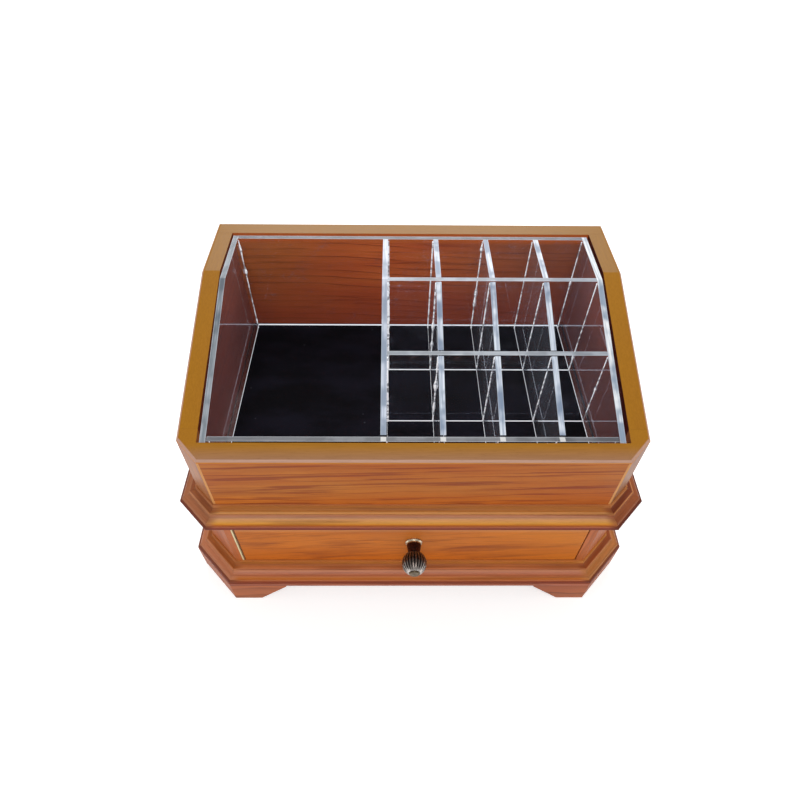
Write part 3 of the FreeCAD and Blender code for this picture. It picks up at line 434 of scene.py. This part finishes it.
def upper_post_wood(name, seed, light, middle):
    """Corner post of the upper case, with a painted highlight on its narrow front margin beside
    the panel.
    """
    shader = Shader(name)
    grain = Grain(shader, "z", seed, 8.0)
    colour = grain.colour(light, middle, BROWN, 0.3, 0.2)
    # Painted highlight on the faces that look straight forward
    margin_highlight = shader.between(shader.face_axes()[1], -0.99, -0.96, 1.0, 0.0)
    colour = shader.mix(shader.times(margin_highlight, 0.85), colour, MARGIN_HIGHLIGHT)
    colour = rim_over(shader, grain, colour, in_front=True)
    return grain.finish(colour, 0.38, 0.2, softened=False)


def lower_post_wood(name, seed, raw_to=None):
    """Corner post of the lower case. raw_to is the x of a face to the drawer's gap that
    was left raw, with the strip of the front beside it."""
    shader = Shader(name)
    grain = Grain(shader, "z", seed, 8.0)
    colour = grain.colour(linear(198, 110, 56), linear(178, 90, 42), BROWN, 0.3, 0.2)
    if raw_to is not None:
        x = shader.place_axes()[0]
        raw = shader.larger(shader.between(shader.face_axes()[0], 0.4, 0.7),
                            shader.between(x, raw_to - 0.0010, raw_to - 0.0007))
        colour = shader.mix(raw, colour, RAW_EDGE)
    return grain.finish(colour, 0.42, 0.25)


# Mouldings: how far the profile goes out and down, added up, and how far out alone, in mm;
# the slope of a mitre; and the way the grain runs and the moulding looks in each of the
# five lengths
MOULDING_RUN = 20.55
MOULDING_OUT = 10.65
MITRE = math.tan(math.pi / 8)
LENGTHS = {
    "front": ("x", (0.0, -1.0)),
    "left": ("y", (-1.0, 0.0)),
    "right": ("y", (1.0, 0.0)),
    "corner_left": ("left", (-0.7071, -0.7071)),
    "corner_right": ("right", (0.7071, -0.7071)),
}

# Colours of the front lengths by the way out and down the profile in mm, from its lip over
# cove, fillet and ogee to its nose: the wood with painted highlights where the profile faces
# up and painted shade below the fillet and under the nose
WAIST_SHADED_BANDS = (
    (0.0, linear(206, 132, 84)), (1.3, linear(172, 104, 50)), (4.0, linear(168, 102, 38)),
    (5.8, linear(184, 116, 54)), (6.3, linear(222, 164, 100)), (7.4, linear(226, 168, 104)),
    (7.8, linear(148, 78, 42)), (8.6, linear(190, 126, 90)), (9.8, linear(184, 128, 100)),
    (10.6, linear(180, 126, 92)), (12.2, linear(236, 176, 116)), (13.2, linear(236, 176, 104)),
    (14.0, linear(220, 156, 66)), (15.2, linear(216, 140, 40)), (16.0, linear(186, 106, 26)),
    (16.9, linear(172, 84, 28)), (17.5, linear(198, 126, 88)), (18.1, linear(164, 88, 70)),
    (18.5, linear(130, 56, 48)), (19.2, linear(124, 52, 28)), (20.5, linear(112, 46, 28)),
)
BASE_SHADED_BANDS = (
    (0.0, linear(218, 144, 82)), (1.3, linear(190, 110, 46)), (2.2, linear(180, 108, 42)),
    (4.1, linear(162, 88, 30)), (5.0, linear(178, 102, 50)), (6.2, linear(196, 120, 70)),
    (7.3, linear(214, 142, 98)), (7.8, linear(150, 78, 48)), (8.8, linear(200, 134, 98)),
    (10.0, linear(202, 136, 106)), (11.0, linear(190, 122, 94)), (12.4, linear(200, 128, 94)),
    (13.0, linear(184, 108, 72)), (14.2, linear(192, 112, 54)), (15.4, linear(182, 100, 34)),
    (16.6, linear(182, 98, 30)), (17.4, linear(216, 138, 92)), (18.1, linear(150, 70, 40)),
    (18.9, linear(132, 50, 22)), (20.5, linear(112, 48, 36)),
)


def corner_bands(lip, cove, fillet, ogee, nose):
    """Bands for the lengths that run back from the front, where the painted highlights and shade
    are quieter.
    """
    return ((0.0, lip), (2.6, lip), (3.4, cove), (6.8, cove), (7.3, fillet), (8.2, fillet),
            (9.0, ogee), (16.6, ogee), (18.0, nose), (20.5, nose))


CORNER_SHADED_BANDS = {
    ("waist", "left"): corner_bands(linear(194, 124, 78), linear(148, 84, 46),
                                    linear(198, 136, 92), linear(168, 106, 71),
                                    linear(104, 48, 38)),
    ("waist", "right"): corner_bands(linear(196, 126, 72), linear(122, 56, 28),
                                     linear(208, 140, 86), linear(156, 87, 50),
                                     linear(94, 40, 32)),
    ("base", "left"): corner_bands(linear(186, 112, 60), linear(158, 86, 36),
                                   linear(206, 134, 86), linear(192, 122, 86),
                                   linear(120, 62, 46)),
    ("base", "right"): corner_bands(linear(204, 132, 66), linear(152, 76, 36),
                                    linear(206, 136, 86), linear(190, 122, 66),
                                    linear(114, 56, 42)),
}


def moulding_wood(name, length, seed, bands, ends=None):
    """Moulding coloured by bands along its profile, with painted highlights where it faces up
    and painted shade in its hollows and under its nose. ends are the bands that a front length
    takes on near its left and its right mitre."""
    along, way_out = LENGTHS[length]
    node = nodes[name]
    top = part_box(name)[1].z
    outward = Vector((*way_out, 0.0))
    reach = max((node.matrix_world @ vertex.co).dot(outward) for vertex in node.data.vertices)
    shader = Shader(f"wood_{name}")
    grain = Grain(shader, along, seed, 5.0)
    x, _, z = shader.place_axes()
    out = shader.add("ShaderNodeVectorMath", {"operation": "DOT_PRODUCT"},
                     i0=shader.place(), i1=tuple(outward)).outputs["Value"]
    out = shader.minus(out, reach - MOULDING_OUT / 1000)
    way = shader.times(shader.plus(out, shader.minus(top, z)), 1000 / MOULDING_RUN)
    colour = shader.ramp(way, [(mm / MOULDING_RUN, tone) for mm, tone in bands])
    if ends is not None:
        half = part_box(name)[1].x - MOULDING_OUT / 1000 * MITRE
        for side, tones in zip((-1.0, 1.0), ends):
            past = shader.minus(shader.times(x, side), shader.times(out, MITRE))
            share = shader.between(past, half - 0.006, half - 0.0005, 0.0, 0.8)
            near = shader.ramp(way, [(mm / MOULDING_RUN, tone) for mm, tone in tones])
            colour = shader.mix(share, colour, near)
    share = shader.between(grain.feather, 0.4, 0.66, 0.0, 0.12)
    colour = shader.mix(share, colour, grain.colour(**ORANGE))
    streak = shader.between(grain.lens, 0.52, 0.66, 0.0, 0.35)
    return grain.finish(shader.mix(streak, colour, BROWN), 0.38, 0.2)


def moulding_materials():
    """A material for each length of both mouldings, by its node's name."""
    made = {}
    for level, bands in (("base", BASE_SHADED_BANDS), ("waist", WAIST_SHADED_BANDS)):
        ends = (CORNER_SHADED_BANDS[level, "left"], CORNER_SHADED_BANDS[level, "right"])
        for number, length in enumerate(LENGTHS):
            name = f"{level}_moulding_{length}"
            seed = 0.1 + 0.17 * number
            if length == "front":
                made[name] = moulding_wood(name, length, seed, bands, ends)
            else:
                side = length.split("_")[-1]
                made[name] = moulding_wood(name, length, seed, CORNER_SHADED_BANDS[level, side])
    return made


def wood_materials():
    """A material for each other wooden node, by its name."""
    pale = plain_board("plain_wood_x", "x", 0.8, PALE, 0.6, 0.1)
    pale_deep = plain_board("plain_wood_y", "y", 0.5, PALE, 0.6, 0.1)
    stained = plain_board("stained_wood_x", "x", 0.3, ORANGE)
    feet = plain_board("wood_feet", "x", 0.6, FOOT, 0.45, 0.2)
    made = {
        "base_board": plain_board("wood_base", "x", 0.2, STRIP, 0.45, 0.2),
        "drawer_front": drawer_wood(),
        "lower_post_left": lower_post_wood("wood_lower_post_left", 0.45,
                                           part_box("lower_post_left")[1].x),
        "lower_post_right": lower_post_wood("wood_lower_post_right", 0.95),
        "lower_side_left": plain_board("wood_lower_left", "y", 0.27, ORANGE),
        "lower_side_right": plain_board("wood_lower_right", "y", 0.67, ORANGE),
        "upper_back_wall": wall_wood("wood_back", "x", 0.9, -1.0, linear(196, 100, 50)),
        "upper_front_panel": panel_wood(),
        "upper_front_rail": rail_wood(),
        "upper_post_left": upper_post_wood("wood_post_left", 0.35,
                                           linear(186, 119, 69), linear(166, 97, 51)),
        "upper_post_right": upper_post_wood("wood_post_right", 0.85,
                                            linear(158, 102, 62), linear(141, 81, 46)),
        "upper_side_left": wall_wood("wood_side_left", "y", 0.23, 1.0, linear(110, 50, 32)),
        "upper_side_right": wall_wood("wood_side_right", "y", 0.57, -1.0,
                                      linear(74, 22, 18)),
    }
    for name in ("deck_board", "lower_back", "lower_front_rail"):
        made[name] = stained
    for name in ("drawer_back", "drawer_bottom", "drawer_stop_blocks", "foot_glue_blocks",
                 "tray_floor_board"):
        made[name] = pale
    for side in ("left", "right"):
        for part in ("side", "runner", "guide"):
            made[f"drawer_{part}_{side}"] = pale_deep
        for end in ("front", "back"):
            made[f"foot_{end}_{side}"] = feet
    return made


# Fabric: the lining's thickness, how far it lies below the top of the CAD's board, how
# far its border and its hollows sink, and the faces across and along it
VELVET = 0.0005
VELVET_DROP = 0.0001
VELVET_BORDER = 0.00035
VELVET_SWELL = 0.00012
VELVET_FACES = (72, 48)


def velvet():
    """Short black pile with a little lint."""
    shader = Shader("black_velvet")
    place = shader.place()
    pile = shader.noise(place, 2600.0, 2)
    brushed = shader.figure(place, (25, 60, 60), 3)
    lint = shader.add("ShaderNodeTexVoronoi", {"feature": "F1"}, Vector=place, Scale=95.0)
    fleck = shader.between(lint.outputs["Distance"], 0.01, 0.06, 1.0, 0.0)
    colour = shader.mix(shader.between(brushed, 0.35, 0.7), linear(7, 6, 10), linear(19, 18, 28))
    colour = shader.mix(shader.times(fleck, 0.25), colour, linear(120, 120, 130))
    shader.give(shader.main, "Base Color", colour)
    shader.give(shader.main, "Normal", shader.bump(pile, 0.0003, 0.8))
    shader.give(shader.main, "Roughness", shader.between(pile, 0.3, 0.7, 0.88, 1.0))
    shader.main.inputs["Specular IOR Level"].default_value = 0.1
    shader.main.inputs["Sheen Weight"].default_value = 0.12
    shader.main.inputs["Sheen Roughness"].default_value = 0.4
    shader.main.inputs["Sheen Tint"].default_value = linear(150, 160, 200)
    return shader.material


def cloth_mesh(middle, width, depth, top):
    """A grid that swells a little here and there and sinks along its border."""
    across, along = VELVET_FACES
    mesh = bmesh.new()
    rows = []
    for j in range(along + 1):
        row = []
        for i in range(across + 1):
            x = middle.x + (i / across - 0.5) * width
            y = middle.y + (j / along - 0.5) * depth
            swell = noise.noise(Vector((x * 45, y * 45, 3.0))) * VELVET_SWELL
            at_border = min(i, across - i, j, along - j) == 0
            drop = VELVET_BORDER if at_border else 0.0
            z = top - VELVET_SWELL + min(swell, VELVET_DROP) - drop
            row.append(mesh.verts.new((x, y, z)))
        rows.append(row)
    for j in range(along):
        for i in range(across):
            mesh.faces.new((rows[j][i], rows[j][i + 1], rows[j + 1][i + 1], rows[j + 1][i]))
    return mesh


def cloth(name, node, body, ease):
    """A stretched sheet of fabric in place of a lining's board, a little uneven."""
    low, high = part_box(node)
    width = high.x - low.x - 2 * ease
    depth = high.y - low.y - 2 * ease
    mesh = cloth_mesh((low + high) / 2, width, depth, high.z - VELVET_DROP)
    piece = add_object(name, mesh, smooth=True)
    thick = piece.modifiers.new("thick", "SOLIDIFY")
    thick.thickness = VELVET
    thick.offset = -1.0
    piece.data.materials.append(bpy.data.materials["black_velvet"])
    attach(piece, body)
    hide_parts(node)


# Knob, in mm: how far before the drawer front its ball's centre, the ends of its collar and
# neck and the start of its button lie, and between which distances from the ball's centre
# the dark of the flutes turns into the shine of the ribs
BALL_OUT = 13.0
COLLAR_END = 2.0
NECK_END = 7.4
BUTTON_START = 19.1
DARK_WITHIN = 6.78
BRIGHT_BEYOND = 7.02


def brass():
    """Antique brass: dark neck and flutes, ribs worn bright with painted highlights in that tone
    and painted shade where they face up, and a painted highlight on the collar.
    """
    low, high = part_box("knob")
    front = high.y
    centre = ((low.x + high.x) / 2, front - BALL_OUT / 1000, (low.z + high.z) / 2)
    shader = Shader("aged_brass")
    place = shader.place()
    away = shader.add("ShaderNodeVectorMath", {"operation": "DISTANCE"}, i0=place, i1=centre)
    reach = shader.times(away.outputs["Value"], 1000.0)
    out = shader.times(shader.minus(front, shader.place_axes()[1]), 1000.0)
    wear = shader.noise(place, 900.0, 3)
    blotch = shader.noise(place, 420.0, 3)
    # Painted shade: ribs that face up take a dark tone, as a painted dark reflection
    up = shader.between(shader.face_axes()[2], 0.3, 0.95, 0.0, 0.8)
    rib_tone_and_shade = shader.mix(up, linear(204, 200, 196), linear(92, 66, 50))
    rib = shader.between(shader.plus(reach, shader.times(wear, 0.16)),
                         DARK_WITHIN, BRIGHT_BEYOND)
    colour = shader.mix(rib, linear(26, 18, 16), rib_tone_and_shade)
    button = shader.between(out, BUTTON_START - 0.1, BUTTON_START + 0.1)
    colour = shader.mix(button, colour, linear(108, 96, 76))
    turned = shader.between(out, NECK_END - 0.2, NECK_END + 0.2, 1.0, 0.0)
    colour = shader.mix(turned, colour, linear(72, 42, 34))
    # Painted highlight on the collar
    collar_highlight = shader.between(out, COLLAR_END - 0.1, COLLAR_END + 0.1, 1.0, 0.0)
    colour = shader.mix(collar_highlight, colour, linear(206, 192, 168))
    tarnish = shader.between(blotch, 0.45, 0.7, 0.0, 0.5)
    colour = shader.mix(tarnish, colour, linear(48, 34, 26))
    shader.give(shader.main, "Base Color", colour)
    shader.give(shader.main, "Metallic", shader.between(rib, 0.0, 1.0, 0.6, 0.95))
    shader.give(shader.main, "Roughness", shader.between(blotch, 0.3, 0.7, 0.22, 0.42))
    shader.give(shader.main, "Normal", shader.bump(wear, 0.0001, 0.3))
    return shader.material


def steel():
    """Brushed zinc of the knob's screw."""
    shader = Shader("screw_steel")
    grain = shader.noise(shader.place(), 1500.0, 3)
    shader.give(shader.main, "Base Color",
                shader.mix(grain, linear(150, 150, 150), linear(190, 190, 186)))
    shader.give(shader.main, "Roughness", shader.between(grain, 0.3, 0.7, 0.25, 0.45))
    shader.give(shader.main, "Normal", shader.bump(grain, 0.00005, 0.3))
    shader.main.inputs["Metallic"].default_value = 1.0
    return shader.material


# Clear sheet: the height above which upward faces are milky cut edges, higher than the
# laps where sheets cross; the height and glow of the line of light at a sheet's foot; the
# metal share that makes a polished face a mirror; the sheets that hide all at their very
# foot; and those whose line of light is on the side of larger x or y
LAP_TOP = TRAY + 0.0362
FOOT_LINE = 0.0010
FOOT_GLOW = 0.7
FACE_MIRROR = 0.7
OUTER_SIDES = ("insert_wall_left", "insert_wall_right")
LIT_ON_HIGH_SIDE = ("insert_wall_left", "insert_main_divider", "insert_wall_back")
DIVIDERS = tuple(f"insert_divider_{number}" for number in (1, 2, 3))

# Dull and bright tone of each sheet's cut edge: milky, with painted light that makes some
# sheets' edges brighter than others
DIVIDER_TONES = (linear(122, 140, 166), linear(228, 236, 246))
SHEET_TONES = {
    "insert_wall_left": (linear(92, 104, 114), linear(162, 170, 178)),
    "insert_wall_right": (linear(132, 152, 174), linear(250, 253, 255)),
    "insert_wall_back": (linear(72, 78, 88), linear(108, 114, 125)),
    "insert_wall_front": (linear(58, 62, 70), linear(98, 101, 108)),
    "insert_main_divider": (linear(142, 156, 176), linear(216, 224, 238)),
    "insert_rail_back": (linear(126, 134, 146), linear(164, 172, 184)),
    "insert_rail_front": (linear(104, 112, 122), linear(150, 158, 168)),
}
ARRIS_HIGHLIGHT = linear(222, 228, 236)
GLINT_TONE = linear(196, 197, 196)
FOOT_TONE = linear(236, 240, 246)
UNDER_TONE = linear(84, 44, 36)
WARM_MIRROR = linear(186, 200, 226)
COOL_MIRROR = linear(216, 228, 248)
LINE_LIGHT = linear(235, 242, 250)


class Sheet:
    """One clear sheet: polished faces let all through but a mirror's share, cut edges are
    milky with painted light on them, and the foot catches the light in a line."""

    def __init__(self, name):
        self.name = name
        self.low, self.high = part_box(name)
        self.runs_along_x = self.high.x - self.low.x > self.high.y - self.low.y
        self.shader = Shader(f"clear_{name}")
        self.place = self.shader.place()
        self.axes = self.shader.place_axes()
        self.up = self.shader.face_axes()[2]
        across = 1 if self.runs_along_x else 0
        middle = (self.low[across] + self.high[across]) / 2
        self.off_middle = self.shader.minus(self.axes[across], middle)

    def edge_tone(self, glints):
        """Colour of the cut edge: saw marks, duller patches, painted highlights along the
        arrises, and a painted glint at each x in glints, where another sheet ends on it."""
        shader = self.shader
        marks = (45, 900, 60) if self.runs_along_x else (900, 45, 60)
        saw = shader.figure(self.place, marks, 3)
        patch = shader.figure(self.place, (70, 70, 70), 2)
        share = shader.times(shader.between(saw, 0.35, 0.65, 0.35, 1.0),
                             shader.between(patch, 0.4, 0.58, 0.1, 1.0))
        # Milky edge, with painted light in its dull and bright tones
        tone = shader.mix(share, *SHEET_TONES.get(self.name, DIVIDER_TONES))
        # Painted highlights along the arrises
        arris = shader.between(shader.math("ABSOLUTE", self.off_middle), 0.00115, 0.00135)
        tone = shader.mix(shader.times(arris, 0.4), tone, ARRIS_HIGHLIGHT)
        # Painted glints where the other sheets end
        for glint in glints:
            near = shader.math("ABSOLUTE", shader.minus(self.axes[0], glint))
            spot = shader.between(near, 0.0012, 0.0016, 1.0, 0.0)
            tone = shader.mix(spot, tone, GLINT_TONE)
        return tone

    def edge_share(self):
        """1 on the cut edges that look up, 0 elsewhere."""
        above = self.shader.between(self.axes[2], LAP_TOP, LAP_TOP + 0.0004)
        return self.shader.times(self.shader.between(self.up, 0.5, 0.8), above)

    def foot_share(self):
        """1 in the line along the foot, on the face that shows it in the photograph."""
        shader = self.shader
        line = shader.between(self.axes[2], self.low.z + FOOT_LINE * 0.8,
                              self.low.z + FOOT_LINE, 1.0, 0.0)
        side = 1.0 if self.name in LIT_ON_HIGH_SIDE else -1.0
        outside = shader.between(shader.times(self.off_middle, side), 0.0010, 0.0014)
        return shader.times(line, outside)

    def haze(self):
        """Smears of handling, heavier on the right wall."""
        shader = self.shader
        smear = shader.noise(self.place, 75.0, 4, 0.6)
        spot = shader.noise(self.place, 330.0, 3, 0.6)
        haze = shader.times(shader.between(smear, 0.5, 0.7),
                            shader.between(spot, 0.5, 0.72, 0.02, 0.3))
        if self.name in DIVIDERS:
            haze = shader.plus(haze, 0.02)
        elif self.name == "insert_wall_right":
            haze = shader.plus(shader.times(haze, 2.0), 0.09)
        return haze

    def face_share(self, under):
        """How much a polished face hides, more where it is seen at a slant. The outer
        sides hide all at their very foot, in the tone of the wood that shows there."""
        shader = self.shader
        glance = shader.add("ShaderNodeLayerWeight", Blend=0.5).outputs["Facing"]
        least = 0.02 if self.runs_along_x or self.name == "insert_wall_left" else 0.03
        mirror = shader.plus(shader.times(shader.math("POWER", glance, 5.0), 0.7), least)
        upright = shader.between(shader.math("ABSOLUTE", self.up), 0.5, 0.8, 1.0, 0.0)
        face = shader.times(shader.math("ADD", mirror, self.haze(), clamp=True), upright)
        return shader.larger(face, under) if self.name in OUTER_SIDES else face

    def seen_share(self):
        """0 for rays that only carry light on, so that the sheet casts no shadow."""
        rays = self.shader.add("ShaderNodeLightPath").outputs
        lit = self.shader.larger(rays["Is Shadow Ray"], rays["Is Diffuse Ray"])
        return self.shader.minus(1.0, lit)

    def finish(self, glints=()):
        """The sheet's material, glints being the x of the bright spots on its cut edge."""
        shader = self.shader
        foot = self.foot_share()
        solid = shader.larger(self.edge_share(), foot)
        under = shader.between(self.axes[2], self.low.z + 0.00005, self.low.z + 0.0002,
                               1.0, 0.0)
        mirrored = WARM_MIRROR if self.runs_along_x else COOL_MIRROR
        clear = shader.mix(under, mirrored, UNDER_TONE)
        colour = shader.mix(foot, self.edge_tone(glints), FOOT_TONE)
        metal = shader.between(shader.larger(solid, under), 0.0, 0.8, FACE_MIRROR, 0.0)
        alpha = shader.add("ShaderNodeMix", {"data_type": "FLOAT"},
                           i0=solid, i2=self.face_share(under), i3=0.93).outputs[0]
        shader.give(shader.main, "Base Color", shader.mix(solid, clear, colour))
        shader.give(shader.main, "Metallic", metal)
        shader.give(shader.main, "Roughness", shader.between(solid, 0.0, 1.0, 0.03, 0.35))
        shader.give(shader.main, "Emission Strength", shader.times(foot, FOOT_GLOW))
        shader.main.inputs["Emission Color"].default_value = LINE_LIGHT
        shader.give(shader.main, "Alpha", shader.times(alpha, self.seen_share()))
        return shader.material


def sheet_materials():
    """A material for each sheet of the insert, by its node's name."""
    ends = []
    for name in ("insert_main_divider", *DIVIDERS):
        low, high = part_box(name)
        ends.append((low.x + high.x) / 2)
    made = {}
    for name in nodes:
        if name.startswith("insert"):
            glints = ends if name == "insert_wall_front" else ()
            made[name] = Sheet(name).finish(glints)
    return made


# Cement in the insert's joints, in metres: the usual radius of a bead, that beside the
# main divider, how much it wavers and swells, how far its ends stay from the corner's, and
# by what share of its radius its middle stands off the sheets
BEAD = 0.00025
BEAD_AT_MAIN = 0.00036
BEAD_WAVE = 0.00005
BEAD_LUMP = 0.00060
BEAD_LOW = 0.0004
BEAD_HIGH = 0.0012
BEAD_OFF = 0.8
BEAD_STEPS = 60
BEAD_SIDES = 6


def glue():
    """Set cement in the joints of the sheets, milky and glossy, its lighter parts with a painted
    glow.
    """
    shader = Shader("set_cement")
    bubble = shader.noise(shader.place(), 420.0, 3)
    lit = shader.between(bubble, 0.36, 0.56)
    colour = shader.mix(lit, linear(176, 182, 190), linear(246, 248, 250))
    shader.give(shader.main, "Base Color", colour)
    shader.give(shader.main, "Alpha", shader.between(lit, 0.0, 1.0, 0.75, 1.0))
    # Painted glow: the lighter parts of the cement give off a little light
    shader.give(shader.main, "Emission Strength", shader.between(lit, 0.0, 1.0, 0.05, 0.5))
    shader.main.inputs["Emission Color"].default_value = LINE_LIGHT
    shader.give(shader.main, "Normal", shader.bump(bubble, 0.0002, 0.6))
    shader.give(shader.main, "Roughness", shader.between(bubble, 0.3, 0.7, 0.12, 0.3))
    return shader.material


def bead(mesh, corner, side, top, seed, ahead=-1.0, usual=BEAD):
    """One bead from a corner's foot up to top, thicker here and there, round in section.
    side and ahead are the signs of x and y in which the corner is open."""
    rings = []
    low = corner.z + BEAD_LOW
    for step in range(BEAD_STEPS + 1):
        z = low + (top - BEAD_HIGH - low) * step / BEAD_STEPS
        wave = noise.noise(Vector((seed * 3.7, 0.0, z * 260)))
        lump = max(0.0, noise.noise(Vector((seed * 9.1, 5.0, z * 120))) - 0.3) * 2.0
        radius = usual + BEAD_WAVE * wave + BEAD_LUMP * lump
        off = radius * BEAD_OFF
        centre = Vector((corner.x + side * off, corner.y + ahead * off, z))
        ring = []
        for number in range(BEAD_SIDES):
            angle = 2 * math.pi * number / BEAD_SIDES
            arm = Vector((math.cos(angle), math.sin(angle), 0))
            ring.append(mesh.verts.new(centre + radius * arm))
        rings.append(ring)
    for below, above in zip(rings, rings[1:]):
        for number in range(BEAD_SIDES):
            after = (number + 1) % BEAD_SIDES
            mesh.faces.new((below[number], below[after], above[after], above[number]))
    mesh.faces.new(reversed(rings[0]))
    mesh.faces.new(rings[-1])


def glue_joints():
    """A thin uneven bead of cement up the corners where sheets of the insert meet."""
    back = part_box("insert_wall_back")
    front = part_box("insert_wall_front")
    rows = [(back[0].y, back[1].z)]
    for name in ("insert_rail_back", "insert_rail_front"):
        low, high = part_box(name)
        rows.append((low.y, high.z))
    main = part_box("insert_main_divider")[1].x
    columns = [(main, 1.0)]
    for name in (*DIVIDERS, "insert_wall_right"):
        columns.append((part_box(name)[0].x, -1.0))
    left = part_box("insert_wall_left")[1].x
    corners = [(x, side, y, top) for x, side in columns for y, top in rows]
    corners.append((left, 1.0, back[0].y, back[1].z))
    mesh = bmesh.new()
    for number, (x, side, y, top) in enumerate(corners):
        usual = BEAD_AT_MAIN if x == main else BEAD
        bead(mesh, Vector((x, y, back[0].z)), side, top, number, usual=usual)
    for number, (x, side) in enumerate(columns + [(left, 1.0)]):
        bead(mesh, Vector((x, front[1].y, front[0].z)), side, front[1].z, 40 + number, 1.0)
    piece = add_object("insert_glue", mesh, smooth=True)
    piece.data.materials.append(glue())
    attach(piece, "insert")


def dress():
    """Give every carried-over node its material."""
    chosen = {"knob": brass(), "knob_screw": steel()}
    chosen.update(wood_materials())
    chosen.update(moulding_materials())
    chosen.update(sheet_materials())
    for name, material in chosen.items():
        for holder in nodes[name].material_slots:
            holder.material = material


# Studio: the world's light; the floor's own glow to the camera, and how much it gains from
# one distance to another, in metres, where it fades into the backdrop; and each lamp's
# name, place, size in metres and watts
WORLD_LIGHT = 0.45
FLOOR_GLOW = 0.5
FAR_GLOW = 0.12
FAR_START = 0.8
FAR_END = 2.4
LAMPS = (
    ("window", (0.0, 1.3, 1.45), 1.3, 26.0),
    ("front", (0.0, -1.3, 1.5), 1.2, 14.0),
)
LIT_PLACE = Vector((0.0, 0.0, 0.08))


def floor():
    """White floor that keeps the shadow and, to the camera, fades into the backdrop."""
    mesh = bmesh.new()
    bmesh.ops.create_grid(mesh, x_segments=1, y_segments=1, size=4.0)
    ground = add_object("floor", mesh)
    ground.location.z = -0.0002
    shader = Shader("floor_white")
    shader.main.inputs["Base Color"].default_value = (0.86, 0.86, 0.86, 1)
    shader.main.inputs["Roughness"].default_value = 0.9
    rays = shader.add("ShaderNodeLightPath").outputs
    seen = shader.larger(rays["Is Camera Ray"], rays["Is Glossy Ray"])
    seen = shader.larger(seen, rays["Is Transmission Ray"])
    reach = shader.add("ShaderNodeVectorMath", {"operation": "LENGTH"}, i0=shader.place())
    far = shader.between(reach.outputs["Value"], FAR_START, FAR_END, 0.0, FAR_GLOW)
    far = shader.times(rays["Is Camera Ray"], far)
    level = shader.plus(shader.times(seen, FLOOR_GLOW), far)
    glow = shader.add("ShaderNodeEmission", Color=(1, 1, 1, 1), Strength=level)
    both = shader.add("ShaderNodeAddShader", i0=shader.main.outputs[0], i1=glow.outputs[0])
    shader.give(shader.out, "Surface", both.outputs[0])
    ground.data.materials.append(shader.material)


def backdrop():
    """Plain world, white to the camera and softer as a light."""
    world = bpy.data.worlds.new("world")
    bpy.context.scene.world = world
    world.use_nodes = True
    tree = world.node_tree
    back = tree.nodes["Background"]
    back.inputs["Color"].default_value = (1, 1, 1, 1)
    rays = tree.nodes.new("ShaderNodeLightPath")
    level = tree.nodes.new("ShaderNodeMapRange")
    level.inputs["To Min"].default_value = WORLD_LIGHT
    tree.links.new(rays.outputs["Is Camera Ray"], level.inputs["Value"])
    tree.links.new(level.outputs["Result"], back.inputs["Strength"])


def lamps():
    """Broad soft lamps behind and in front of the box."""
    for name, spot, size, power in LAMPS:
        lamp = bpy.data.lights.new(name, "AREA")
        lamp.size = size
        lamp.energy = power
        holder = bpy.data.objects.new(name, lamp)
        holder.location = spot
        aim = LIT_PLACE - Vector(spot)
        holder.rotation_euler = aim.to_track_quat("-Z", "Y").to_euler()
        bpy.context.scene.collection.objects.link(holder)


camera()
velvet()
cloth("tray_lining", "tray_velvet", "case", 0.0002)
cloth("drawer_lining", "drawer_velvet", "drawer", 0.0002)
dress()
glue_joints()
floor()
backdrop()
lamps()
bpy.context.scene.view_settings.view_transform = "Standard"
bpy.context.scene.cycles.transparent_max_bounces = 32
